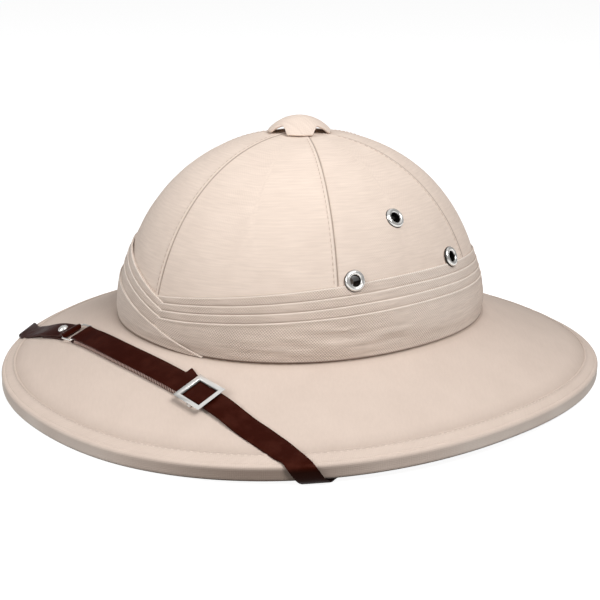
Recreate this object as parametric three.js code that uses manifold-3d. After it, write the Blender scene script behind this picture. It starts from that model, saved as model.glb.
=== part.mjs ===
// Pith helmet: cloth-covered crown and sloping brim, pleated puggaree, vent button, eyelets and a leather chin
// strap that lies across the front of the brim and runs round the rim to both sides of the crown.
// Millimetres, +Z up. The hat rests on its brim at z = 0, its front faces -Y and its left side is +X.
import * as THREE from 'three';
import { mergeVertices } from 'three/addons/utils/BufferGeometryUtils.js';
import Module from 'manifold-3d';

const wasm = await Module();
wasm.setup();

// Driving dimensions of the shell. The rim's half lengths are measured from the middle line of the hat, and the
// crown's from its own centre line, which stands a little nearer to the front.
const gap = 0.3;
const ovalPower = 2.13;
const rimHalf = { front: 167.3, back: 172.7, side: 155.6 };
const footHalf = { front: 101.8, back: 106.8, side: 94.9 };
const crownShift = 2.04;
const footHeight = 34.4;
const footSideRise = 1.6;
const crownTop = 134.4;
const crownWall = 5;
const crownInset = 2;
const risePower = 1.98;
const roundPower = 2.22;
const boardThick = 5;

// The rim lies flat at the front and the back and lifts a little along the sides.
const rimThick = 8;
const sideLift = 5.9;
const liftSkew = 0.12;
const restDepth = 0.35;
const bindingWall = 1.2;
const bindingWidth = 7.8;
const restWidth = 6;
const cornerRound = 1.5;

// The puggaree's pleats, from the top edge down: height at the sides, and how far each drops to the front and
// the back. On the hat's right side they stand a little higher and come down steeply to the crossing.
const pleats = [
  { side: 73.8, frontDrop: 15, backDrop: 10, rightRaise: 1.7 },
  { side: 68.6, frontDrop: 13, backDrop: 9, rightRaise: 2.3 },
  { side: 63.8, frontDrop: 11.7, backDrop: 8, rightRaise: 1.4 },
  { side: 59.1, frontDrop: 10.7, backDrop: 7, rightRaise: -1.3 },
];
const crossingAngle = degrees(5);
const crossingSweep = degrees(45);
const tailCrossingHeight = 43.7;
const tailStart = degrees(-165);
const tailEnd = degrees(25);
const clothInset = 0.6;
const clothLayer = 0.5;
const tailThick = 1;

// Vent button: a dome with four tabs over a short stem.
const buttonRadius = 22;
const buttonWall = 1;
const buttonTop = 142.9;
const buttonReach = 17.4;
const buttonCentre = new THREE.Vector2(-1.1, -3.3);
const stemRadius = 6;
const notchReach = 13.2;
const notchHalfAngle = degrees(64);
const notchAngles = [5, 95, 185, 275].map(degrees);

// Eyelets, the same on both sides: angle from the front, height, and what lies under the flange.
const eyelets = [
  { name: 'front', angle: degrees(67.2), height: 73.9, cloth: 1.4 },
  { name: 'top', angle: degrees(89.9), height: 99.3, cloth: 0 },
  { name: 'back', angle: degrees(112.4), height: 76.5, cloth: 1.4 },
];
const eyeletHole = 2.75;
const eyeletBarrel = 3.6;
const eyeletFlange = 5.5;

// Chin strap: leather across the front of the brim. Its centre line is a shallow curve in front of the crown.
const leather = 1.1;
const strapWidth = 11.2;
const tabWidth = 12.6;
const strapFrontY = -117.8;
const strapHalfSpan = { left: 138, right: 72 };
const strapRise = { left: 9.3, right: 3.9 };
const lowerLayer = gap + leather / 2;
const upperLayer = lowerLayer + gap + leather;
const barHalf = 0.55;
const loopRadius = barHalf * Math.SQRT2 + gap + leather / 2;
const barHeight = lowerLayer + loopRadius;
const ringBars = { long: -49.5, tab: -60.9 };
const ringReach = { front: -7, rear: 8.2 };
const slider = { start: 51.2, end: 68, width: 16.1, bar: 2.1, thick: 1.2 };
const looseEnd = { x: 41.3, rear: 10.5 };
const snapX = -69.9;
const snapRadius = 3.3;

// Where the strap's two edges cross the rim, and where it goes under the brim, for the hat's left side (1) and
// its right side (-1). The edges drift along the rim as the strap folds under.
const rimCrossings = {
  left: { side: 1, front: degrees(46.5), rear: degrees(51) },
  right: { side: -1, front: degrees(44.5), rear: degrees(51) },
};
const underRoute = [[122, -91], [121, -74], [117.5, -52], [111.5, -28], [104, -12], [96.5, -3.5]];
const edgeCrossing = 4.5;
const wallRoute = [8, 14, 20, 26];
const wallLean = degrees(42);
const wallClear = 0.4;
const rimClear = 0.6;
const rimBowed = 3;
const rivetReach = 20;

// Mesh fineness
const columns = 60;
const crownRings = { outer: 12, inner: 9 };
const beltStep = 12;

function degrees(value) {
  return (value * Math.PI) / 180;
}

function lerp(a, b, t) {
  return a + (b - a) * t;
}

function smooth(t) {
  const s = Math.min(1, Math.max(0, t));
  return s * s * (3 - 2 * s);
}

// A point at an angle from the front, turning towards the hat's left.
function polar(angle, radius, z) {
  return new THREE.Vector3(radius * Math.sin(angle), -radius * Math.cos(angle), z);
}

// The same about the crown's centre line.
function aboutCrown(angle, radius, z) {
  return polar(angle, radius, z).add(new THREE.Vector3(0, -crownShift, 0));
}

function ovalRadius(half, angle) {
  const end = Math.cos(angle) > 0 ? half.front : half.back;
  const across = Math.abs(Math.sin(angle)) / half.side;
  const along = Math.abs(Math.cos(angle)) / end;
  return (across ** ovalPower + along ** ovalPower) ** (-1 / ovalPower);
}

function rimLift(angle) {
  const turn = Math.abs(angle) - liftSkew * Math.sin(Math.abs(angle));
  return Math.max(0, sideLift * Math.sin(turn) ** 2 - restDepth);
}

function footZ(angle) {
  return footHeight + footSideRise * Math.sin(angle) ** 2;
}

// A point on the straight line from the rim to the foot of the crown, a distance in from the rim.
function brimPoint(angle, inward, z) {
  const rim = polar(angle, ovalRadius(rimHalf, angle), z);
  const foot = aboutCrown(angle, ovalRadius(footHalf, angle), z);
  return rim.add(foot.sub(rim).setLength(inward));
}

// Height of the brim's upper face at a distance in from the rim.
function brimTop(angle, inward) {
  const rim = polar(angle, ovalRadius(rimHalf, angle), 0);
  const width = rim.distanceTo(aboutCrown(angle, ovalRadius(footHalf, angle), 0)) - cornerRound;
  const t = (inward - cornerRound) / width;
  return lerp(rimLift(angle) + rimThick, footZ(angle), Math.min(1, Math.max(0, t)));
}

function crownShrink(rise) {
  return (1 - Math.min(1, Math.max(0, rise)) ** risePower) ** (1 / roundPower);
}

function crownBase(angle) {
  return ovalRadius(footHalf, angle) - crownInset;
}

// Radius of the crown's outer face at a height.
function crownRadius(angle, z) {
  return crownBase(angle) * crownShrink((z - footZ(angle) - gap) / (crownTop - footZ(angle) - gap));
}

// A closed geometry with shared vertices, no slivers and its faces turned outwards.
function closed(geometry) {
  const bare = geometry.clone();
  for (const name of Object.keys(bare.attributes)) {
    if (name !== 'position') bare.deleteAttribute(name);
  }
  const merged = mergeVertices(bare, 1e-4);
  const position = merged.getAttribute('position');
  const source = merged.getIndex().array;
  const corner = [0, 1, 2].map(() => new THREE.Vector3());
  const index = [];
  let volume = 0;
  for (let i = 0; i < source.length; i += 3) {
    const [a, b, c] = source.slice(i, i + 3);
    if (a === b || b === c || c === a) continue;
    [a, b, c].forEach((vertex, k) => corner[k].fromBufferAttribute(position, vertex));
    volume += corner[0].dot(corner[1].cross(corner[2]));
    index.push(a, b, c);
  }
  if (volume < 0) index.reverse();
  merged.setIndex(index);
  return merged;
}

function toSolid(geometry) {
  const mesh = closed(geometry);
  return new wasm.Manifold(new wasm.Mesh({
    numProp: 3,
    vertProperties: new Float32Array(mesh.getAttribute('position').array),
    triVerts: new Uint32Array(mesh.getIndex().array),
  }));
}

function toGeometry(solid) {
  const mesh = solid.getMesh();
  const geometry = new THREE.BufferGeometry();
  geometry.setAttribute('position', new THREE.BufferAttribute(new Float32Array(mesh.vertProperties), 3));
  geometry.setIndex(Array.from(mesh.triVerts));
  return geometry;
}

// A lathe whose profile holds any two numbers; place() turns them into a point at each angle.
function lathePart(profile, place) {
  const points = profile.map(([u, v]) => new THREE.Vector2(u, v));
  const lathe = new THREE.LatheGeometry(points, columns);
  const position = lathe.getAttribute('position');
  for (let i = 0; i < position.count; i += 1) {
    const column = Math.floor(i / profile.length) % columns;
    const turn = (column * 2 * Math.PI) / columns;
    const angle = turn > Math.PI ? turn - 2 * Math.PI : turn;
    const [u, v] = profile[i % profile.length];
    position.setXYZ(i, ...place(angle, u, v).toArray());
  }
  return closed(lathe);
}

// A skin over equal loops of points, closed by a fan at each end.
function loftPart(loops) {
  const count = loops[0].length;
  const vertices = loops.flat().flatMap((point) => point.toArray());
  const index = [];
  for (let i = 0; i + 1 < loops.length; i += 1) {
    for (let j = 0; j < count; j += 1) {
      const a = i * count + j;
      const b = i * count + ((j + 1) % count);
      index.push(a, b, b + count, a, b + count, a + count);
    }
  }
  const last = (loops.length - 1) * count;
  for (let j = 1; j + 1 < count; j += 1) {
    index.push(0, j + 1, j, last, last + j, last + j + 1);
  }
  const geometry = new THREE.BufferGeometry();
  geometry.setAttribute('position', new THREE.Float32BufferAttribute(vertices, 3));
  geometry.setIndex(index);
  return closed(geometry);
}

// A plain dome of the crown's form, drawn in by a wall thickness.
function crownDome(wall, rings) {
  const profile = [[0, 0], [1, 0]];
  for (let i = 1; i <= rings; i += 1) {
    const rise = Math.sin((i / rings) * (Math.PI / 2));
    profile.push([crownShrink(rise), rise]);
  }
  profile[profile.length - 1] = [0, 1];
  return lathePart(profile, (angle, u, v) => {
    const foot = lerp(footHeight, footZ(angle), u) + gap - (wall > 0 ? wall : 0) * (1 - Math.sign(v));
    return aboutCrown(angle, (crownBase(angle) - wall) * u, lerp(foot, crownTop - wall, v));
  });
}

// Frame of an eyelet: its place on the crown's outer face and the direction out of the wall.
function eyeletFrame(eyelet, side) {
  const step = 0.5;
  const angle = eyelet.angle * side;
  const at = aboutCrown(angle, crownRadius(angle, eyelet.height), eyelet.height);
  const up = aboutCrown(angle, crownRadius(angle, eyelet.height + step), eyelet.height + step).sub(at);
  const turned = angle + step / at.length();
  const along = aboutCrown(turned, crownRadius(turned, eyelet.height), eyelet.height).sub(at);
  const out = along.cross(up).normalize();
  const matrix = new THREE.Matrix4().makeTranslation(at.x, at.y, at.z);
  const turn = new THREE.Quaternion().setFromUnitVectors(new THREE.Vector3(0, 1, 0), out);
  return matrix.multiply(new THREE.Matrix4().makeRotationFromQuaternion(turn));
}

const sides = [{ name: 'left', side: 1 }, { name: 'right', side: -1 }];
const eyeletSides = 12;

function eyeletCutters(radius) {
  return sides.flatMap(({ side }) => eyelets.map((eyelet) => {
    const drill = new THREE.CylinderGeometry(radius, radius, crownWall * 4, eyeletSides);
    return toSolid(drill.applyMatrix4(eyeletFrame(eyelet, side)));
  }));
}

function cutAll(solid, cutters) {
  return cutters.reduce((rest, cutter) => rest.subtract(cutter), solid);
}

function eyeletPart(eyelet, side) {
  const seat = eyelet.cloth + gap;
  const inside = -crownWall - 1.1;
  const profile = [
    [eyeletHole, inside - 0.8],
    [eyeletHole, seat + 0.2],
    [eyeletHole + 1.6, seat + 1.5],
    [eyeletFlange - 0.2, seat + 0.9],
    [eyeletFlange, seat],
    [eyeletBarrel, seat],
    [eyeletBarrel, inside],
    [eyeletBarrel + 1.1, inside],
    [eyeletBarrel + 1.1, inside - 0.8],
    [eyeletHole, inside - 0.8],
  ].map(([x, y]) => new THREE.Vector2(x, y));
  const lathe = new THREE.LatheGeometry(profile, eyeletSides);
  return closed(lathe.applyMatrix4(eyeletFrame(eyelet, side)));
}

// A ring whose cross-section is a loop of points at each angle.
function sectionRing(section) {
  const count = section(0).length;
  const stations = [...Array(count).keys(), 0].map((station) => [station, 0]);
  return lathePart(stations, (angle, station) => section(angle)[station]);
}

// The brim board: a sloping plate that steps down by the binding's thickness near the rim.
function brimBoard() {
  const sunk = bindingWall + gap;
  const tip = bindingWall + 2 * gap;
  const edge = bindingWidth + gap;
  return sectionRing((angle) => {
    const foot = ovalRadius(footHalf, angle);
    const inner = foot - crownInset - crownWall;
    const lift = rimLift(angle);
    const level = footZ(angle);
    return [
      aboutCrown(angle, inner, level),
      aboutCrown(angle, foot, level),
      brimPoint(angle, edge, brimTop(angle, edge)),
      brimPoint(angle, edge, brimTop(angle, edge) - sunk),
      brimPoint(angle, tip + gap, brimTop(angle, tip) - sunk),
      brimPoint(angle, tip, lift + rimThick - sunk - gap * 3),
      brimPoint(angle, tip, lift + sunk),
      brimPoint(angle, restWidth, lift + sunk),
      brimPoint(angle, edge, brimTop(angle, edge) - boardThick - sunk),
      brimPoint(angle, edge + boardThick, brimTop(angle, edge + boardThick) - boardThick),
      aboutCrown(angle, foot, level - boardThick),
      aboutCrown(angle, inner, level - boardThick),
    ];
  });
}

// The binding: a cloth channel round the brim's edge, flat underneath where the hat rests.
function bindingPart() {
  return sectionRing((angle) => {
    const lift = rimLift(angle);
    const top = brimTop(angle, bindingWidth);
    const under = top - rimThick;
    return [
      brimPoint(angle, bindingWidth, top),
      brimPoint(angle, cornerRound, lift + rimThick),
      brimPoint(angle, 0, lift + rimThick - cornerRound),
      brimPoint(angle, 0, lift + cornerRound),
      brimPoint(angle, cornerRound, lift),
      brimPoint(angle, restWidth, lift),
      brimPoint(angle, bindingWidth, under),
      brimPoint(angle, bindingWidth, under + bindingWall),
      brimPoint(angle, restWidth, lift + bindingWall),
      brimPoint(angle, bindingWall, lift + bindingWall),
      brimPoint(angle, bindingWall, lift + rimThick - bindingWall),
      brimPoint(angle, bindingWidth, top - bindingWall),
    ];
  });
}

// Height of a pleat line that runs level with the hat's left side.
function leftPleat(pleat, angle) {
  const drop = Math.cos(angle) > 0 ? pleat.frontDrop : pleat.backDrop;
  return pleat.side - drop * (1 - Math.abs(Math.sin(angle)));
}

// Height of the same pleat on the hat's right side, where it comes down to the crossing.
function rightPleat(number, angle) {
  const pleat = pleats[number];
  const below = pleats[number + 1];
  const low = below ? leftPleat(below, crossingAngle) : tailCrossingHeight;
  const back = Math.cos(angle) > 0 ? 0 : pleat.backDrop * (1 - Math.abs(Math.sin(angle)));
  const high = pleat.side - back + pleat.rightRaise * smooth(1 + Math.cos(angle));
  const reach = Math.min(1, (crossingAngle - angle) / crossingSweep);
  return lerp(high, low, (1 - reach) ** 1.5);
}

function pleatZ(number, angle) {
  return angle < crossingAngle ? rightPleat(number, angle) : leftPleat(pleats[number], angle);
}

// Upper edge of the loose end, which crosses the front and runs down to the brim.
function tailZ(angle) {
  if (angle < crossingAngle) return rightPleat(pleats.length - 1, angle);
  const t = (angle - crossingAngle) / (tailEnd - crossingAngle);
  return lerp(tailCrossingHeight, footZ(angle) + 2 * gap, t);
}

// The cloth's outer face below the lowest pleat, from the foot (0) to the pleat (1).
function wrapSwell(t) {
  return lerp(1.4, 2.3, smooth(t / 0.7));
}

// The pleated wrap: v counts pleat lines from the foot, u is the distance out from the crown.
function wrapPart() {
  const step = 0.02;
  const profile = [[wrapSwell(0), 0], [wrapSwell(0.5), 0.5]];
  for (let line = 1; line <= pleats.length; line += 1) {
    const face = wrapSwell(1) - (line - 1) * clothLayer * 0.7;
    profile.push([face, line]);
    if (line < pleats.length) profile.push([face - clothLayer, line + step]);
  }
  for (const v of [4, 2.5, 1, 0.5, 0]) profile.push([clothInset, v]);
  profile.push([wrapSwell(0), 0]);
  return lathePart(profile, (angle, u, v) => {
    const hidden = angle < crossingAngle ? 2 : 0;
    const lines = [footZ(angle) + gap];
    for (let number = pleats.length - 1; number >= 0; number -= 1) lines.push(pleatZ(number, angle));
    lines[1] -= hidden;
    const line = Math.min(Math.floor(v), pleats.length - 1);
    const z = lerp(lines[line], lines[line + 1], v - line);
    return aboutCrown(angle, crownRadius(angle, z) + u, z);
  });
}

// The wrap's loose end: a plain band that overlies its lower part.
function tailPart() {
  const steps = 36;
  const loops = [];
  for (let i = 0; i <= steps; i += 1) {
    const angle = lerp(tailStart, tailEnd, i / steps);
    const bottom = footZ(angle) + gap;
    const pleat = pleatZ(pleats.length - 1, angle);
    const place = (t, out) => {
      const z = lerp(bottom, Math.max(tailZ(angle), bottom + gap), t);
      const swell = wrapSwell((z - bottom) / (pleat - bottom));
      return aboutCrown(angle, crownRadius(angle, z) + swell + 0.45 + out, z);
    };
    loops.push([place(0, 0), place(0, tailThick), place(0.5, tailThick), place(1, tailThick * 0.6),
      place(1, 0), place(0.5, 0)]);
  }
  return loftPart(loops);
}

function buttonPart() {
  const centre = buttonTop - buttonRadius;
  const inner = buttonRadius - buttonWall;
  const arc = (radius, from, to) => {
    const steps = 5;
    const points = [];
    for (let i = 0; i <= steps; i += 1) {
      const angle = lerp(Math.asin(from / radius), Math.asin(to / radius), i / steps);
      points.push(new THREE.Vector2(radius * Math.sin(angle), centre + radius * Math.cos(angle)));
    }
    return points;
  };
  const profile = [
    new THREE.Vector2(0, crownTop + gap),
    new THREE.Vector2(stemRadius, crownTop + gap),
    ...arc(inner, stemRadius, buttonReach * (inner / buttonRadius)),
    ...arc(buttonRadius, buttonReach, 0),
  ];
  const upright = new THREE.Matrix4().makeRotationX(Math.PI / 2);
  const cap = toSolid(new THREE.LatheGeometry(profile, 32).applyMatrix4(upright));
  const far = buttonRadius;
  const half = (far - notchReach) * Math.tan(notchHalfAngle);
  const wedge = new THREE.Shape([
    new THREE.Vector2(0, -notchReach),
    new THREE.Vector2(half, -far),
    new THREE.Vector2(-half, -far),
  ]);
  const notches = notchAngles.map((angle) => {
    const prism = new THREE.ExtrudeGeometry(wedge, { depth: buttonRadius, bevelEnabled: false });
    prism.rotateZ(angle).translate(0, 0, crownTop - buttonRadius / 2);
    return toSolid(prism);
  });
  const geometry = toGeometry(cutAll(cap, notches));
  return geometry.translate(buttonCentre.x, buttonCentre.y, 0);
}

// Centre line of the strap across the front, as a distance from the middle of the hat.
function strapLineY(x) {
  const side = x > 0 ? 'left' : 'right';
  return strapFrontY + strapRise[side] * smooth(Math.abs(x) / strapHalfSpan[side]);
}

// A point on the brim's upper face (side 1) or under face (side -1), a height away from it.
function onBrim(x, y, height, face) {
  const angle = Math.atan2(x, -y);
  const inward = ovalRadius(rimHalf, angle) - Math.hypot(x, y);
  const top = brimTop(angle, inward);
  const slope = 1.08;
  if (face > 0) return new THREE.Vector3(x, y, top + height * slope);
  const lift = rimLift(angle);
  const board = top - boardThick;
  const edge = top - rimThick;
  const t = (inward - restWidth) / (bindingWidth - restWidth);
  const bound = t < 0 ? lift : lerp(lift, brimTop(angle, bindingWidth) - rimThick, Math.min(1, t));
  const under = inward > bindingWidth + boardThick ? board : Math.min(bound, edge);
  return new THREE.Vector3(x, y, under - height * slope);
}

// Strap space: x across the hat, a distance to the rear of the strap's centre line, and a height.
function strapSpace(x, across, height) {
  const step = 0.5;
  const slope = (strapLineY(x + step) - strapLineY(x - step)) / (2 * step);
  const run = Math.hypot(1, slope);
  return onBrim(x - (across * slope) / run, strapLineY(x) + across / run, height, 1);
}

// Sections of a belt that follows a path of x, height, shift to the rear and width.
function beltSections(path) {
  return path.map(([x, height, shift, width], i) => {
    const before = path[Math.max(0, i - 1)];
    const after = path[Math.min(path.length - 1, i + 1)];
    const run = Math.hypot(after[0] - before[0], after[1] - before[1]);
    const outX = ((after[1] - before[1]) / run) * (leather / 2);
    const outH = ((before[0] - after[0]) / run) * (leather / 2);
    const corner = (end, face) => strapSpace(x + face * outX, shift + (end * width) / 2, height + face * outH);
    return [corner(1, 1), corner(-1, 1), corner(-1, -1), corner(1, -1)];
  });
}

// Half a turn round a bar, from over it to under it, bulging to the side given.
function turnRound(barX, bulge) {
  const steps = 6;
  const path = [];
  for (let i = 0; i <= steps; i += 1) {
    const angle = lerp(Math.PI / 2, -Math.PI / 2, i / steps);
    path.push([
      barX + bulge * loopRadius * Math.cos(angle),
      barHeight + loopRadius * Math.sin(angle),
      0,
      strapWidth,
    ]);
  }
  return path;
}

// Sections of the strap round the rim, under the brim and up the inside of the crown.
function hiddenSections({ side, front, rear }) {
  const near = gap * 1.5;
  const far = near + leather;
  const drift = [0, 0.9, 2.1, 2.8, 3.8, 5].map(degrees);
  const rim = [
    (angle, h) => [-cornerRound + h * 0.5, rimLift(angle) + rimThick + h * 0.9],
    (angle, h) => [h, rimLift(angle) + rimThick - cornerRound + h * 0.3],
    (angle, h) => [h, rimLift(angle) + cornerRound],
    (angle, h) => [-cornerRound + h * 0.8, rimLift(angle) - h],
    (angle, h) => [-3.5, rimLift(angle) - h],
    (angle, h) => [-restWidth, rimLift(angle) - h],
  ];
  const sections = rim.map((station, i) => {
    const corner = (edge, h) => {
      const angle = edge + drift[i];
      const [out, z] = station(angle, h);
      const bow = i < rimBowed ? rimClear : 0;
      return polar(side * angle, ovalRadius(rimHalf, angle) + out + bow, z);
    };
    return [corner(rear, far), corner(front, far), corner(front, near), corner(rear, near)];
  });
  underRoute.forEach(([x, y], i) => {
    const before = underRoute[Math.max(0, i - 1)];
    const after = underRoute[Math.min(underRoute.length - 1, i + 1)];
    const run = Math.hypot(after[0] - before[0], after[1] - before[1]);
    const acrossX = ((after[1] - before[1]) / run) * (strapWidth / 2);
    const acrossY = (-(after[0] - before[0]) / run) * (strapWidth / 2);
    const corner = (end, h) => onBrim(side * (x + end * acrossX), y + end * acrossY, h, -1);
    sections.push([corner(1, far), corner(-1, far), corner(-1, near), corner(1, near)]);
  });
  const edgeZ = footZ(Math.PI / 2) - boardThick;
  const bend = (end, h) => {
    const y = edgeCrossing + (end * strapWidth) / (2 * Math.cos(wallLean));
    return new THREE.Vector3(side * (wallX(y, edgeZ) - h), y, edgeZ - h);
  };
  sections.push([bend(1, far), bend(-1, far), bend(-1, near), bend(1, near)]);
  wallRoute.forEach((reach) => {
    const corner = (end, h) => wallPoint(side, reach, end * (strapWidth / 2), h);
    sections.push([corner(1, far), corner(-1, far), corner(-1, near), corner(1, near)]);
  });
  return sections;
}

// A point on the inside of the crown, at a reach along the strap from the brim's inner edge.
function wallPoint(side, reach, across, height) {
  const y = edgeCrossing + Math.sin(wallLean) * reach + Math.cos(wallLean) * across;
  const z = footZ(Math.PI / 2) - boardThick + Math.cos(wallLean) * reach - Math.sin(wallLean) * across;
  return new THREE.Vector3(side * (wallX(y, z) - height), y, z);
}

// Distance of the crown's inner face from the middle of the hat at a place on its side.
function wallX(y, z) {
  const rise = Math.max(0, (z - footZ(Math.PI / 2) - gap) / (crownTop - crownWall - footHeight));
  const shrink = crownShrink(rise);
  const inset = crownInset + crownWall + wallClear;
  const end = y + crownShift > 0 ? footHalf.back : footHalf.front;
  const along = Math.abs(y + crownShift) / ((end - inset) * shrink);
  return (footHalf.side - inset) * shrink * (1 - along ** ovalPower) ** (1 / ovalPower);
}

function beltRun(from, to, heightFrom, heightTo, shift = 0, width = strapWidth) {
  const count = Math.max(1, Math.round(Math.abs(to - from) / beltStep));
  const path = [];
  for (let i = 0; i <= count; i += 1) {
    path.push([lerp(from, to, i / count), lerp(heightFrom, heightTo, i / count), shift, width]);
  }
  return path;
}

// The long strap: from the left side round the rim, through the slider to the ring and back under itself.
function longStrap() {
  const ear = looseEnd.rear - strapWidth / 2;
  const path = [
    [111, lowerLayer, 0.9, strapWidth + 0.4],
    [104, lowerLayer, 0.5, strapWidth + 0.2],
    ...beltRun(97, 82, lowerLayer, lowerLayer),
    ...beltRun(74, -38, upperLayer, upperLayer),
    ...turnRound(ringBars.long, -1),
    ...beltRun(-38, 38, lowerLayer, lowerLayer),
    [looseEnd.x - 2, lowerLayer, 0, strapWidth],
    [looseEnd.x, lowerLayer, ear / 2, strapWidth + ear],
    [slider.start - 2 * gap, lowerLayer, ear / 5, strapWidth + ear * 0.4],
  ];
  return loftPart([...hiddenSections(rimCrossings.left).reverse(), ...beltSections(path)]);
}

// The short strap: from the right side round the rim to the ring, its end folded back underneath.
function tabStrap() {
  const path = [
    ...beltRun(-107, -98, lowerLayer, lowerLayer, 0, tabWidth),
    ...beltRun(-88, -76, upperLayer, upperLayer, 0, tabWidth),
    ...beltRun(-66, -64, upperLayer, upperLayer),
    ...turnRound(ringBars.tab, 1),
    ...beltRun(-66, -84, lowerLayer, lowerLayer),
  ];
  const onTop = beltSections(path).map((section) => section.reverse());
  return loftPart([...hiddenSections(rimCrossings.right).reverse(), ...onTop]);
}

// A box given by its limits in strap space.
function bar(x0, x1, across0, across1, h0, h1) {
  const box = new THREE.BoxGeometry(x1 - x0, across1 - across0, h1 - h0);
  return toSolid(box.translate((x0 + x1) / 2, (across0 + across1) / 2, (h0 + h1) / 2));
}

function joinInStrapSpace(bars) {
  const geometry = toGeometry(bars.reduce((whole, next) => whole.add(next)));
  const position = geometry.getAttribute('position');
  for (let i = 0; i < position.count; i += 1) {
    const point = strapSpace(position.getX(i), position.getY(i), position.getZ(i));
    position.setXYZ(i, ...point.toArray());
  }
  return closed(geometry);
}

function sliderPart() {
  const { start, end, width, bar: thick, thick: rise } = slider;
  const half = width / 2;
  const low = upperLayer + leather / 2 + gap;
  const high = low + rise;
  const middle = (start + end) / 2;
  return joinInStrapSpace([
    bar(start, start + thick, -half, half, low, high),
    bar(end - thick, end, -half, half, low, high),
    bar(start, end, -half, -half + thick, gap, high),
    bar(start, end, half - thick, half, gap, high),
    bar(middle - 1.2, middle + 1.2, -half, half, gap, upperLayer - leather / 2 - gap),
  ]);
}

function ringPart() {
  const low = barHeight - barHalf;
  const high = barHeight + barHalf;
  const left = ringBars.tab - barHalf;
  const right = ringBars.long + barHalf;
  const { front, rear } = ringReach;
  return joinInStrapSpace([
    bar(left, left + 2 * barHalf, front, rear, low, high),
    bar(right - 2 * barHalf, right, front, rear, low, high),
    bar(left, right, front, front + 2 * barHalf, low, high),
    bar(left, right, rear - 2 * barHalf, rear, low, high),
  ]);
}

function snapPart() {
  const seat = upperLayer + leather / 2 + gap;
  const profile = [[0, 0], [1, 0], [0.97, 0.35], [0.75, 0.75], [0.4, 0.95], [0, 1]]
    .map(([x, y]) => new THREE.Vector2(x * snapRadius, y * 2));
  const lathe = new THREE.LatheGeometry(profile, 16).rotateX(Math.PI / 2);
  const at = strapSpace(snapX, 0, seat);
  const ahead = strapSpace(snapX + 1, 0, seat).sub(at);
  const rear = strapSpace(snapX, 1, seat).sub(at);
  const up = ahead.cross(rear).normalize();
  lathe.applyQuaternion(new THREE.Quaternion().setFromUnitVectors(new THREE.Vector3(0, 0, 1), up));
  return closed(lathe.translate(at.x, at.y, at.z));
}

// Rivet that holds the strap's end to the side of the crown: a head on the strap and a shank in the wall.
function rivetGeometry(side, headRadius, shankRadius, headThick) {
  const face = leather + 4.5 * gap;
  const shank = -3;
  const profile = [[0, shank], [shankRadius, shank], [shankRadius, face], [headRadius, face],
    [headRadius * 0.8, face + headThick], [0, face + headThick]].map(([x, y]) => new THREE.Vector2(x, y));
  const lathe = new THREE.LatheGeometry(profile, 12).rotateZ(side * (Math.PI / 2));
  return lathe.translate(...wallPoint(side, rivetReach, 0, 0).toArray());
}

function rivetHole(side) {
  const drill = new THREE.CylinderGeometry(1.8, 1.8, 7.2, 12).rotateZ(Math.PI / 2);
  return toSolid(drill.translate(...wallPoint(side, rivetReach, 0, 0).toArray()));
}

const cloth = new THREE.MeshStandardMaterial({ color: '#dccbbd', roughness: 0.9, metalness: 0 });
const brown = new THREE.MeshStandardMaterial({ color: '#3a1410', roughness: 0.45, metalness: 0 });
const steel = new THREE.MeshStandardMaterial({ color: '#c9c8c4', roughness: 0.25, metalness: 1 });

// The whole hat stands with the middle of its length and width over the origin.
const group = new THREE.Group();
const hat = new THREE.Group();
hat.position.y = (rimHalf.front - rimHalf.back) / 2;
group.add(hat);

function addPart(name, geometry, material) {
  const mesh = new THREE.Mesh(closed(geometry), material);
  mesh.name = name;
  hat.add(mesh);
}

const eyeletHoles = eyeletCutters(eyeletBarrel + gap);
const rivetHoles = sides.map(({ side }) => rivetHole(side));
const crownInside = toSolid(crownDome(crownWall, crownRings.inner));
const crownShell = toSolid(crownDome(0, crownRings.outer)).subtract(crownInside);
addPart('crown', toGeometry(cutAll(crownShell, [...eyeletHoles, ...rivetHoles])), cloth);
addPart('brim', brimBoard(), cloth);
addPart('brim_binding', bindingPart(), cloth);
addPart('puggaree_wrap', toGeometry(cutAll(toSolid(wrapPart()), eyeletHoles)), cloth);
addPart('puggaree_tail', tailPart(), cloth);
addPart('button_cap', buttonPart(), cloth);
for (const { name: sideName, side } of sides) {
  for (const eyelet of eyelets) {
    addPart(`eyelet_${sideName}_${eyelet.name}`, eyeletPart(eyelet, side), steel);
  }
}
addPart('strap_long', toGeometry(toSolid(longStrap()).subtract(rivetHoles[0])), brown);
addPart('strap_tab', toGeometry(toSolid(tabStrap()).subtract(rivetHoles[1])), brown);
addPart('slider_buckle', sliderPart(), steel);
addPart('strap_ring', ringPart(), steel);
addPart('snap_stud', snapPart(), steel);
for (const { name: sideName, side } of sides) {
  addPart(`strap_rivet_${sideName}`, rivetGeometry(side, 3.2, 1.5, 1.2), steel);
}

export default group;
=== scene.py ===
"""Pith helmet: cloth shell, pleated puggaree, vent button, eyelets and leather chin strap."""
import math

import bpy
from mathutils import Matrix, Vector, noise


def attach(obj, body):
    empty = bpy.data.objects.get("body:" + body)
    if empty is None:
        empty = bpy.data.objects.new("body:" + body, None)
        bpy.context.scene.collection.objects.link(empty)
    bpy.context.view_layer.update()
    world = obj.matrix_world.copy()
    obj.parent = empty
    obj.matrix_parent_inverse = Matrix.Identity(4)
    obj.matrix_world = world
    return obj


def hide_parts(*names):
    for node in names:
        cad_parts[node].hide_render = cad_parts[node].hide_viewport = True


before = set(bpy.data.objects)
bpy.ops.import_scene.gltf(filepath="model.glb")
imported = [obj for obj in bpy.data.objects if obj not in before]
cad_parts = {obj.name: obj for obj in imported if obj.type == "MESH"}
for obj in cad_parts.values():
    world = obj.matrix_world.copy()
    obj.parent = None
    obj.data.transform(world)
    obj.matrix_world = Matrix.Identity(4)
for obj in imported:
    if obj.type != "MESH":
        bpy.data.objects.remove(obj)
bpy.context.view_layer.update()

MM = 0.001
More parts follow.
